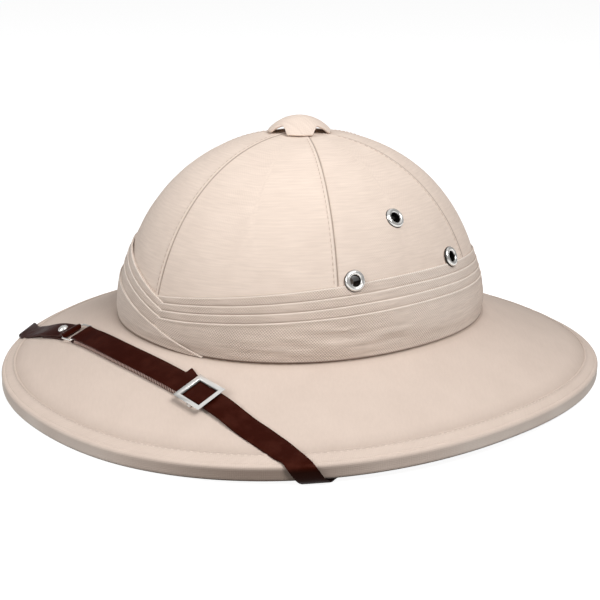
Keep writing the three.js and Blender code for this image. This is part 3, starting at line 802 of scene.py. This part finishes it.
def band_light(turn):
    """Painted light on the band at the hat's front right and left rear, and a little painted shade between
    them.
    """
    lit_ends = 0.55 * bell(turn + RAD(35), RAD(30)) + 0.45 * bell(turn - RAD(105), RAD(30))
    return lit_ends - 0.16 * bell(turn - RAD(26), RAD(24))


def layer_out(number, strip_angle):
    """How far a pleat stands off the crown. The band's end lies over its own start and sinks into it."""
    slide = smooth((strip_angle - RAD(335)) / RAD(25))
    over = 0.35 * smooth((strip_angle - RAD(305)) / RAD(40)) * (1 - smooth((strip_angle - RAD(357)) / RAD(8)))
    sunk = 0.2 * smooth((strip_angle - RAD(362)) / RAD(3))
    hidden = 0.5 * (1 - smooth((strip_angle + RAD(1)) / RAD(5)))
    return 0.75 + 0.38 * (number + slide) + over - sunk - hidden


def closed_column(angle, rows, inner):
    """Points and shades of a column whose rows give height, step out from the crown, and shade."""
    rows.append(rows[0])
    column = [on_crown(angle, z, max(out, inner)) for z, out, _ in rows]
    return column, [mark + band_light(angle) for _, _, mark in rows]


def wrap_column(strip_angle):
    """Points and shades up one column of the pleated band."""
    turn = apart(strip_angle)
    pleat = right_pleat if strip_angle > math.pi else left_pleat
    foot = foot_z(turn) + GAP
    steady = min(1, abs(turn - CROSSING) / RAD(10))
    heights = [max(pleat(k, turn) + 0.3 * ripple(turn * 2.4, k * 3.1, 1.0) * steady, foot + 1.2)
               for k in range(4)]
    rows = []
    base = layer_out(3, strip_angle)
    top = heights[3] - 1.4
    for lift, mark in FOOT_SHADE + [((top - foot) * k / BAND_ROWS, 0) for k in range(1, BAND_ROWS + 1)]:
        z = foot + lift
        t = lift / (top - foot)
        tuck = (1 - smooth(t / 0.55)) * FOOT_TUCK
        rows.append((z, base + 0.3 * math.sin(math.pi * t) - tuck + band_wrinkle(strip_angle, z, t), mark))
    for number in (3, 2, 1, 0):
        out = layer_out(number, strip_angle)
        folds = FOLD if number else FOLD[:4]
        rows += [(heights[number] + rise, out + step, mark) for rise, step, mark in folds]
        if number:
            face = layer_out(number - 1, strip_angle)
            low, high = heights[number] + 0.9, heights[number - 1] - 0.95
            for t in (0.33, 0.66):
                soft = 0.12 * ripple(strip_angle * 5, number * 2.0 + t, 5.0)
                rows.append((lerp(low, high, t), lerp(out - 0.26, face + 0.12, t) + soft, 0))
    inner = 0.12
    high = heights[0]
    # Painted shade in the groove along the band's top edge.
    rows += [(high + 0.12, out - 0.3, -0.5), (high + 0.2, inner, -0.6)]
    rows += [(z, inner, 0) for z in spaced(high - 0.8, foot, 8)]
    return closed_column(turn, rows, inner)


def wrap_piece():
    grid, shade = zip(*[wrap_column(angle) for angle in spaced(WRAP_START, WRAP_END, WRAP_STEPS)])
    piece = skin("puggaree_pleats", grid, caps=True, shade=shade)
    carve(piece, eyelet_drills(WRAP_HOLE, [row for row in EYELETS if row[2] > 1]))
    dress(soften(piece, 50), WRAP_CLOTH, "cloth", "puggaree_wrap")


def tail_column(angle):
    foot = foot_z(angle) + GAP
    top = max(tail_height(angle), foot + 0.6)
    show = smooth((angle - TAIL_START) / RAD(30))
    strip = angle + TURN if angle < CROSSING else angle
    base = layer_out(3, RAD(350)) + 0.4 * show - 0.3 * (1 - show)
    span = max(0.1, top - 1.2 - foot)
    lifts = [(min(lift, span * 0.08), mark) for lift, mark in FOOT_SHADE]
    lifts += [(span * k / TAIL_ROWS, 0) for k in range(1, TAIL_ROWS + 1)]
    rows = []
    for lift, mark in lifts:
        z = foot + lift
        reach = (z - foot) / max(1.0, TAIL_CROSSING + 10 - foot)
        tuck = (1 - smooth((z - foot) / 6)) * FOOT_TUCK
        rows.append((z, base - tuck + 0.6 * band_wrinkle(strip, z, reach), mark))
    edge = base - (1 - smooth((top - foot) / 6)) * FOOT_TUCK
    # Painted highlight along the strip's top edge, and painted shade in the groove behind it.
    rows += [(top - 0.8, edge + 0.05, 0.15), (top - 0.25, edge + 0.02, 0.5), (top, edge - 0.15, 0.2),
             (top + 0.05, edge - 0.55, -0.8), (top - 0.7, edge - 0.8, -0.6)]
    rows += [(lerp(top - 0.7, foot, k / 4), edge - 0.8 - 0.2 * k / 4, 0) for k in range(1, 5)]
    return closed_column(angle, rows, 0.2)


def tail_piece():
    """The band's loose end: a plain strip that runs down to the brim and under its edge."""
    grid, shade = zip(*[tail_column(angle) for angle in spaced(TAIL_START, TAIL_END, TAIL_STEPS)])
    piece = skin("puggaree_end", grid, caps=True, shade=shade)
    dress(soften(piece, 50), WRAP_CLOTH, "cloth", "puggaree_tail")


# Vent button: a cloth-covered cap with four tabs, on a short stem.
BUTTON_AT = Vector((-1.1, -3.3, 0))
BUTTON_RADIUS = 22.0
BUTTON_TOP = 142.9
BUTTON_REACH = 17.4
BUTTON_ROWS = 20
NOTCHES = [RAD(a) for a in (5, 95, 185, 275)]
NOTCH_REACH = 13.2
NOTCH_OPEN = RAD(64)


def button_edge(angle):
    reach = BUTTON_REACH
    for notch in NOTCHES:
        away = abs(apart(angle, notch))
        if away < NOTCH_OPEN - 0.05:
            reach = min(reach, NOTCH_REACH * math.sin(NOTCH_OPEN) / math.sin(NOTCH_OPEN - away))
    return reach


def button_piece():
    grid = []
    for angle in ring_angles(160):
        column = []
        for k in range(BUTTON_ROWS + 1):
            r = button_edge(angle) * k / BUTTON_ROWS
            z = BUTTON_TOP - BUTTON_RADIUS + math.sqrt(BUTTON_RADIUS ** 2 - r * r)
            column.append(BUTTON_AT + polar(angle, r, z + 0.15 * smooth((r - 11) / 6)))
        grid.append(column)
    cap = skin("button_cloth_cap", grid, [[(p.x, p.y) for p in column] for column in grid])
    apply(cap, "SOLIDIFY", thickness=1.0 * MM, offset=-1.0)
    apply(cap, "BEVEL", width=0.35 * MM, segments=3, limit_method="ANGLE", angle_limit=RAD(50))
    profile = [(0, CROWN_TOP - 0.4), (7.2, CROWN_TOP - 0.6), (6.4, CROWN_TOP + 0.6), (6.0, BUTTON_TOP - 2.2),
               (0, BUTTON_TOP - 1.6)]
    stem = turned_piece("button_stem", profile, Matrix.Translation(placed(BUTTON_AT)), 40)
    dress(join([soften(cap, 50), stem], "button_cloth_cap"), CROWN_CLOTH, "cloth", "button_cap")


# Stitches: one small thread loop, copied along a line.
def stitch_row(name, places, length, radius, thread=PALE_THREAD, slot="cloth"):
    """Each place is a point, the way that its stitch runs, and the way up."""
    pattern = primitive("uv_sphere", segments=6, ring_count=5, radius=1)
    shape = [v.co.copy() for v in pattern.data.vertices]
    faces = [tuple(p.vertices) for p in pattern.data.polygons]
    bpy.data.objects.remove(pattern)
    verts, polys = [], []
    for at, ahead, up in places:
        side = ahead.cross(up).normalized()
        base = len(verts)
        for co in shape:
            verts.append(placed(at + ahead * co.z * length / 2 + side * co.x * radius + up * co.y * radius))
        polys += [tuple(base + i for i in face) for face in faces]
    mesh = bpy.data.meshes.new(name)
    mesh.from_pydata(verts, [], polys)
    piece = bpy.data.objects.new(name, mesh)
    bpy.context.scene.collection.objects.link(piece)
    dress(soften(piece, 80), thread, slot)


STITCH_RADIUS = 0.2
CROWN_PITCH = 3.0
BINDING_COUNT = 320
EDGE_PITCH = 1.25


def crown_stitches():
    places = []
    out, ahead_by = seam_relief(-TOPSTITCH) + 0.08, 0.004
    for seam in SEAMS:
        rise = 0.12
        while rise < 0.985:
            angle = seam - TOPSTITCH / crown_reach(seam, rise)
            at = crown_surface(angle, rise, out)
            ahead = crown_surface(angle, min(1, rise + ahead_by), out) - at
            step = CROWN_PITCH / (ahead.length / ahead_by)
            ahead.normalize()
            up = (at - about_crown(0, 0, FOOT_HEIGHT)).normalized()
            places.append((at, ahead, (up - ahead * up.dot(ahead)).normalized()))
            rise += step
    stitch_row("crown_topstitch", places, 2.1, STITCH_RADIUS, SEAM_THREAD)


def binding_stitches():
    places = []
    inward = BINDING_WIDTH - 1.3
    for i in range(BINDING_COUNT):
        angle = TURN * i / BINDING_COUNT
        at, later = [brim_point(a, inward, brim_top(a, inward) + 0.32) for a in (angle, angle + 0.004)]
        places.append((at, (later - at).normalized(), Vector((0, 0, 1))))
    stitch_row("binding_stitch", places, 2.2, STITCH_RADIUS)


# Chin strap: the same route as the solids, with rounded edges and smooth bends. A place on it is given by x,
# by how far behind the strap's line it is, and by its height over the brim.
STRAP_FRONT = -117.8
STRAP_RISE = {"left": (9.3, 138), "right": (3.9, 72)}
LOWER = GAP + LEATHER / 2
UPPER = LOWER + GAP + LEATHER
WIRE = 0.5
LOOP = WIRE + LEATHER / 2 + 0.05
BAR_HEIGHT = LOWER + LOOP
RING_LONG = -49.5
RING_TAB = -60.9
RING_REACH = (-7.0, 8.2)
SLIDER = (51.2, 68.0)
SLIDER_WIDTH = 16.1
LOOSE_END = (41.3, 10.5)
SNAP_X = -69.9
UNDER_ROUTE = [(122, -91), (121, -74), (117.5, -52), (111.5, -28), (104, -12), (96.5, -3.5)]
UNDER_GAP = 0.45
EDGE_CROSSING = 4.5
WALL_LEAN = RAD(42)
WALL_ROUTE = (8, 14, 20, 26)
RIVET_REACH = 20
RIM_EDGES = {1: (RAD(46.5), RAD(51.2)), -1: (RAD(45.0), RAD(51.5))}
RIM_DRIFT = [RAD(a) for a in (0, 0.8, 2.1, 3.1, 4.1, 5)]
SLOPE_STRETCH = 1.08
SPACING = 1.2

# The fold over the rim: how far out and up the strap's inner face is, each with its step for the thickness.
RIM_STATIONS = [(-CORNER, 0.5, RIM_THICK, 0.9), (0.35, 1, RIM_THICK - CORNER, 0.3), (0.35, 1, CORNER, 0),
                (-CORNER, 0.8, 0, -1), (-3.5, 0, 0, -1), (-REST_WIDTH, 0, 0, -1)]


def strap_line(x):
    rise, half_span = STRAP_RISE["left" if x > 0 else "right"]
    return STRAP_FRONT + rise * smooth(abs(x) / half_span)


def on_brim(x, y, height, face=1):
    """Point over the brim's top, or below its underside where face is -1."""
    angle = math.atan2(x, -y)
    inward = oval(RIM, angle) - math.hypot(x, y)
    top = brim_top(angle, inward)
    if face > 0:
        return Vector((x, y, top + height * SLOPE_STRETCH))
    t = clamp((inward - REST_WIDTH) / (BINDING_WIDTH - REST_WIDTH))
    bound = lerp(rim_lift(angle), brim_top(angle, BINDING_WIDTH) - RIM_THICK, t)
    under = top - BOARD if inward > BINDING_WIDTH + BOARD else min(bound, top - RIM_THICK)
    return Vector((x, y, under - height * SLOPE_STRETCH))


def strap_space(x, across, height):
    slope = strap_line(x + 0.5) - strap_line(x - 0.5)
    run = math.hypot(1, slope)
    return on_brim(x - across * slope / run, strap_line(x) + across / run, height)


def rounded_section(rear_up, front_up, front_low, rear_low, edge=0.45):
    """Four corners of a strap made into a section with rounded edges."""
    def corner(at, along, down):
        a = at + (along - at).normalized() * edge
        b = at + (down - at).normalized() * edge
        return [b, at.lerp((a + b) / 2, 0.45), a]
    top = corner(rear_up, front_up, rear_low) + [rear_up.lerp(front_up, t) for t in (0.25, 0.5, 0.75)]
    side = corner(front_up, rear_up, front_low)[::-1]
    low = corner(front_low, rear_low, front_up) + [front_low.lerp(rear_low, t) for t in (0.33, 0.67)]
    loop = top + side + low + corner(rear_low, front_low, rear_up)[::-1]
    return loop + [loop[0]]


def resample(sections, spacing):
    """Smooths a run of four-corner sections and returns more of them, evenly spread."""
    at = lengths([sum(section, Vector()) / 4 for section in sections])
    last = len(at) - 1
    count = max(2, round(at[-1] / spacing))
    out = []
    for k in range(count + 1):
        s = at[-1] * k / count
        i = next((n for n in range(last) if at[n + 1] >= s), last - 1)
        run = at[i + 1] - at[i]
        t = (s - at[i]) / max(1e-9, run)
        before, after = sections[max(0, i - 1)], sections[min(last, i + 2)]
        gap_a = at[i] - at[max(0, i - 1)] or run
        gap_b = at[min(last, i + 2)] - at[i + 1] or run
        quad = []
        for p, q, back, on in zip(sections[i], sections[i + 1], before, after):
            tangent_a = (q - back) / (run + gap_a) * run
            tangent_b = (on - p) / (run + gap_b) * run
            quad.append(p * (2 * t ** 3 - 3 * t ** 2 + 1) + tangent_a * (t ** 3 - 2 * t ** 2 + t)
                        + q * (3 * t ** 2 - 2 * t ** 3) + tangent_b * (t ** 3 - t ** 2))
        out.append(quad)
    return out


def around(route, i):
    """Step from the point before one on a route to the point after it, and its length."""
    before, after = route[max(0, i - 1)], route[min(len(route) - 1, i + 1)]
    step = (after[0] - before[0], after[1] - before[1])
    return *step, math.hypot(*step)


def belt(path):
    """Sections from rows of x, height, shift to the rear, and width. The outside comes first."""
    sections = []
    way = 1 if path[0][0] > path[3][0] else -1
    for i, (x, height, shift, width) in enumerate(path):
        ahead, climb, run = around(path, i)
        out_x = way * climb / run * LEATHER / 2
        out_h = -way * ahead / run * LEATHER / 2
        sections.append([strap_space(x + face * out_x, shift + end * width / 2, height + face * out_h)
                         for end, face in ((1, 1), (-1, 1), (-1, -1), (1, -1))])
    return sections


def turn_round(bar_x, bulge, steps=12):
    return [(bar_x + bulge * LOOP * math.cos(angle), BAR_HEIGHT + LOOP * math.sin(angle), 0, STRAP_WIDTH)
            for angle in spaced(math.pi / 2, -math.pi / 2, steps)]


def wall_x(y, z):
    rise = max(0.0, (z - foot_z(math.pi / 2) - GAP) / (CROWN_TOP - CROWN_WALL - FOOT_HEIGHT))
    shrink = crown_shrink(rise)
    inset = CROWN_INSET + CROWN_WALL + 0.4
    half = FOOT["back"] if y - CROWN_SHIFT > 0 else FOOT["front"]
    along = abs(y - CROWN_SHIFT) / ((half - inset) * shrink)
    return (FOOT["side"] - inset) * shrink * (1 - along ** OVAL_POWER) ** (1 / OVAL_POWER)


def wall_point(side, reach, across, height):
    y = EDGE_CROSSING + math.sin(WALL_LEAN) * reach + math.cos(WALL_LEAN) * across
    z = foot_z(math.pi / 2) - BOARD + math.cos(WALL_LEAN) * reach - math.sin(WALL_LEAN) * across
    return Vector((side * (wall_x(y, z) - height), y, z))


def hidden_sections(side):
    """The run over the rim, under the brim and up the inside of the crown."""
    near, far = UNDER_GAP, UNDER_GAP + LEATHER
    corners = ((1, far), (-1, far), (-1, near), (1, near))
    front, rear = RIM_EDGES[side]
    sections = []
    for (out, out_step, up, up_step), drift in zip(RIM_STATIONS, RIM_DRIFT):
        section = []
        for end, h in corners:
            angle = (rear if end > 0 else front) + drift
            radius = oval(RIM, angle) + out + h * out_step
            section.append(polar(side * angle, radius, rim_lift(angle) + up + h * up_step))
        sections.append(section)
    for i, (x, y) in enumerate(UNDER_ROUTE):
        step_x, step_y, run = around(UNDER_ROUTE, i)
        ax, ay = step_y / run * STRAP_WIDTH / 2, -step_x / run * STRAP_WIDTH / 2
        sections.append([on_brim(side * (x + end * ax), y + end * ay, h, -1) for end, h in corners])
    edge_z = foot_z(math.pi / 2) - BOARD
    bend = []
    for end, h in corners:
        y = EDGE_CROSSING + end * STRAP_WIDTH / (2 * math.cos(WALL_LEAN))
        bend.append(Vector((side * (wall_x(y, edge_z) - h), y, edge_z - h)))
    sections.append(bend)
    sections += [[wall_point(side, reach, end * STRAP_WIDTH / 2, h) for end, h in corners]
                 for reach in WALL_ROUTE]
    return sections[::-1]


def fold_shade(point):
    """Painted shade on the strap where it folds over the rim and under it."""
    over = RIM_THICK - 0.6 + rim_lift(math.atan2(point.x, -point.y)) - point.z
    return -0.9 * smooth(over / 2)


def strap_piece(name, sections, node_name):
    grid = [rounded_section(*section) for section in resample(sections, SPACING)]
    shade = [[fold_shade(point) for point in loop] for loop in grid]
    piece = skin(name, grid, caps=True, shade=shade)
    dress(soften(piece, 35), STRAP_LEATHER, "strap_leather", node_name)


def belt_run(x0, x1, height, step=8.0):
    return [(x, height, 0.0, STRAP_WIDTH) for x in spaced(x0, x1, max(1, round(abs(x1 - x0) / step)))]


def climbing(rows):
    """Path rows from x, how far the strap has climbed to its upper level, shift and width."""
    return [(x, lerp(LOWER, UPPER, t), shift, width) for x, t, shift, width in rows]


def long_strap():
    x, reach = LOOSE_END
    ear = reach - STRAP_WIDTH / 2
    path = climbing([(113, 0, 1.4, STRAP_WIDTH), (107, 0, 1.0, 11.3), (100, 0, 0.6, 11.4),
                     (92, 0, 0.15, 11.4), (84, 0.35, 0, 11.3), (76, 0.8, 0.05, STRAP_WIDTH)])
    path += [*belt_run(66, -42, UPPER), *turn_round(RING_LONG, -1), *belt_run(-42, 34, LOWER)]
    path += climbing([(x - 1.2, 0, 0, STRAP_WIDTH), (x - 0.4, 0, 0, STRAP_WIDTH),
                      (x, 0, ear / 2, STRAP_WIDTH + ear), (x + 0.6, 0, ear * 0.49, STRAP_WIDTH + ear * 0.98),
                      (SLIDER[0] - 0.6, 0, ear / 5, STRAP_WIDTH + ear * 0.4)])
    strap_piece("chin_strap_long", hidden_sections(1) + belt(path), "strap_long")


def tab_strap():
    climb = [(-109, 0), (-103, 0.04), (-97, 0.2), (-91, 0.55), (-85, 0.88), (-79, 1)]
    path = climbing([(x, t, 0, TAB_WIDTH) for x, t in climb])
    path += [(-73, UPPER, 0, lerp(TAB_WIDTH, STRAP_WIDTH, 0.4)), *belt_run(-67, -65, UPPER),
             *turn_round(RING_TAB, 1), *belt_run(-66, -84, LOWER)]
    strap_piece("chin_strap_tab", hidden_sections(-1) + belt(path), "strap_tab")


def strap_edge_stitches():
    """Whipped stitches that bind the doubled strap's two layers along their front edge."""
    places = []
    x = -46.0
    while x < 49:
        high = strap_space(x, -STRAP_WIDTH / 2 + 0.45, UPPER + LEATHER * 0.62)
        low = strap_space(x + 0.3, -STRAP_WIDTH / 2 - 0.4, LOWER - LEATHER * 0.3)
        places.append(((high + low) / 2, (high - low).normalized(), Vector((0, -1, 0.3)).normalized()))
        x += EDGE_PITCH
    stitch_row("strap_edge_stitches", places, 2.7, 0.3, EDGE_THREAD, "strap_leather")


def local_frame(x, height):
    """Axes along the strap, to the rear and up, at a place on its line."""
    at = strap_space(x, 0, height)
    ahead = (strap_space(x + 1, 0, height) - strap_space(x - 1, 0, height)).normalized()
    rear = strap_space(x, 1, height) - strap_space(x, -1, height)
    up = ahead.cross(rear).normalized()
    return axes(placed(at), ahead, up.cross(ahead), up)


def cube(size):
    box = primitive("cube", size=MM)
    box.data.transform(Matrix.Diagonal((*size, 1)))
    return box


def sloped_box(length, width, height, spread_by):
    """A block whose top is larger or smaller all round than its foot."""
    box = cube((length, width, height))
    for vertex in box.data.vertices:
        if vertex.co.z > 0:
            vertex.co.x += math.copysign(spread_by * MM, vertex.co.x)
            vertex.co.y += math.copysign(spread_by * MM, vertex.co.y)
    return box


def rounded_box(centre, size, place):
    box = cube(size)
    box.data.transform(Matrix.Translation(Vector(centre) * MM))
    apply(box, "BEVEL", width=0.35 * MM, segments=3)
    box.data.transform(place)
    return box


def slider_piece():
    """A flat rectangular frame with sloped faces, and a bar under the strap."""
    x0, x1 = SLIDER
    length, width, bar, thick = x1 - x0, SLIDER_WIDTH, 2.1, 1.2
    low = UPPER + LEATHER / 2 + GAP
    place = local_frame((x0 + x1) / 2, 0)
    outline = sloped_box(length, width, thick, -0.75)
    carve(outline, sloped_box(length - 2 * bar, width - 2 * bar, thick * 1.4, 0.55))
    apply(outline, "BEVEL", width=0.14 * MM, segments=2, limit_method="ANGLE", angle_limit=RAD(25))
    # Painted shade on the frame's lower half, darkening its sloped sides.
    shaded_metal(outline, lambda at: -0.9 if at.z < 0 else 0)
    outline.data.transform(place @ Matrix.Translation((0, 0, (low + thick / 2) * MM)))
    parts = [outline]
    for side in (1, -1):
        centre = (0, side * (width - bar) / 2, (low + GAP) / 2 + 0.3)
        parts.append(rounded_box(centre, (2.4, bar - 0.5, low + 0.5 - GAP), place))
    parts.append(rounded_box((0, 0, (UPPER - LEATHER / 2) / 2), (2.4, width, 1.2), place))
    dress(soften(join(parts, "slider_frame"), 35), NICKEL, "nickel", "slider_buckle")


def ring_piece():
    """A rectangular loop of round wire."""
    front, rear = RING_REACH
    place = local_frame((RING_LONG + RING_TAB) / 2, BAR_HEIGHT)
    bend, round_steps = 1.6, 12
    half_x, half_y = (RING_LONG - RING_TAB) / 2 - bend, (rear - front) / 2 - WIRE - bend
    path = []
    for cx, cy, start in ((1, 1, 0), (-1, 1, 90), (-1, -1, 180), (1, -1, 270)):
        for angle in [RAD(start + 15 * k) for k in range(7)]:
            path.append(Vector((cx * half_x + bend * math.cos(angle),
                                (rear + front) / 2 + cy * half_y + bend * math.sin(angle), 0)))
    grid = []
    for i in range(len(path) + 1):
        at = path[i % len(path)]
        ahead = (path[(i + 1) % len(path)] - path[(i - 1) % len(path)]).normalized()
        side, up = Vector((ahead.y, -ahead.x, 0)), Vector((0, 0, 1))
        turns = ring_angles(round_steps)
        grid.append([at + (side * math.cos(turn) + up * math.sin(turn)) * WIRE for turn in turns])
    piece = skin("strap_wire_ring", grid)
    piece.data.transform(place @ Matrix.Translation((0, -HAT_SHIFT * MM, 0)))
    dress(soften(piece, 60), NICKEL, "nickel", "strap_ring")


def snap_piece():
    profile = [(0, 0), (2.85, 0), (2.85, 0.3), (2.65, 0.75), (2.2, 1.25), (1.45, 1.65), (0.65, 1.85),
               (0, 1.9)]
    piece = turned_piece("snap_dome", profile, local_frame(SNAP_X, UPPER + LEATHER / 2 + 0.1))
    dress(piece, NICKEL, "nickel", "snap_stud")


def rivet_piece(side, side_name):
    at = placed(wall_point(side, RIVET_REACH, 0, 0))
    place = Matrix.Translation(at) @ Matrix.Rotation(-side * math.pi / 2, 4, "Y")
    face = LEATHER + 0.8
    profile = [(0, -3), (1.5, -3), (1.5, face), (3.2, face), (3.1, face + 0.5), (2.4, face + 1.0),
               (1.2, face + 1.25), (0, face + 1.3)]
    piece = turned_piece("rivet_head_" + side_name, profile, place, 32)
    dress(piece, NICKEL, "nickel", "strap_rivet_" + side_name)


crown_piece()
brim_piece()
binding_piece()
wrap_piece()
tail_piece()
button_piece()
for side_name, side_sign in (("left", 1), ("right", -1)):
    for (turn_angle, level_z, seat_out), row in zip(EYELETS, ("front", "top", "back")):
        eyelet_piece("eyelet_%s_%s" % (side_name, row), turn_angle * side_sign, level_z, seat_out)
    rivet_piece(side_sign, side_name)
long_strap()
tab_strap()
slider_piece()
ring_piece()
snap_piece()
crown_stitches()
binding_stitches()
strap_edge_stitches()


# Studio: a pale floor that casts no light back up, soft light from above, and the camera at the photograph's
# height and side.
FLOOR_SIZE = 60
FLOOR_GLOW = 0.93
AZIMUTH, ELEVATION, ROLL = RAD(49.398), RAD(16.677), RAD(0.989)
DISTANCE = 700.0
SCALE = 1.7410
PAN = (-0.908, 34.045)
FRAME_LIFT = 2.57
HALF_FRAME = 300

# Lights: name, angle from the front towards the left side, height angle, distance, size in metres, and power.
LIGHTS = [("key", 86, 50, 1.7, 0.9, 21), ("fill", -5, 28, 1.7, 1.2, 13), ("sky", 0, 90, 2.0, 3.5, 12)]
LIGHT_AIM = Vector((0, 0, 0.05))
WORLD_LIGHT = 0.1


def add_object(name, data):
    made = bpy.data.objects.new(name, data)
    bpy.context.scene.collection.objects.link(made)
    return made


def floor_piece():
    floor = primitive("plane", size=FLOOR_SIZE)
    floor.name = "studio_floor"
    material, _, _ = new_material("studio_floor", Roughness=0.9, Base_Color=(0.3, 0.3, 0.3, 1),
                                  Specular_IOR_Level=0.0, Emission_Color=(1, 1, 1, 1),
                                  Emission_Strength=FLOOR_GLOW)
    floor.data.materials.append(material)
    floor.visible_diffuse = False


def toward(azimuth, elevation):
    """Direction from the middle of the hat at an angle from its front, and at a height angle."""
    flat = math.cos(elevation)
    return Vector((math.sin(azimuth) * flat, -math.cos(azimuth) * flat, math.sin(elevation)))


def area_light(name, azimuth, elevation, distance, size, power):
    data = bpy.data.lights.new(name, "AREA")
    data.shape = "DISK"
    data.size = size
    data.energy = power
    light = add_object(name, data)
    light.location = toward(RAD(azimuth), RAD(elevation)) * distance
    light.rotation_euler = (LIGHT_AIM - light.location).to_track_quat("-Z", "Y").to_euler()


def camera_piece():
    back = toward(AZIMUTH, ELEVATION)
    level = Vector((math.cos(AZIMUTH), math.sin(AZIMUTH), 0))
    upright = back.cross(level)
    right = level * math.cos(ROLL) + upright * math.sin(ROLL)
    up = upright * math.cos(ROLL) - level * math.sin(ROLL)
    eye = placed(back * DISTANCE + right * PAN[0] + up * PAN[1] + Vector((0, 0, FRAME_LIFT)))
    data = bpy.data.cameras.new("camera")
    data.sensor_fit = "HORIZONTAL"
    data.angle = 2 * math.atan(HALF_FRAME / (SCALE * DISTANCE))
    data.clip_start = 0.01
    camera = add_object("camera", data)
    camera.matrix_world = axes(eye, right, up, back)
    bpy.context.scene.camera = camera


floor_piece()
camera_piece()
for light in LIGHTS:
    area_light(*light)
world = bpy.data.worlds.new("studio")
world.use_nodes = True
sky = world.node_tree.nodes["Background"].inputs
sky["Color"].default_value = (1, 1, 1, 1)
sky["Strength"].default_value = WORLD_LIGHT
bpy.context.scene.world = world
bpy.context.scene.view_settings.view_transform = "Standard"
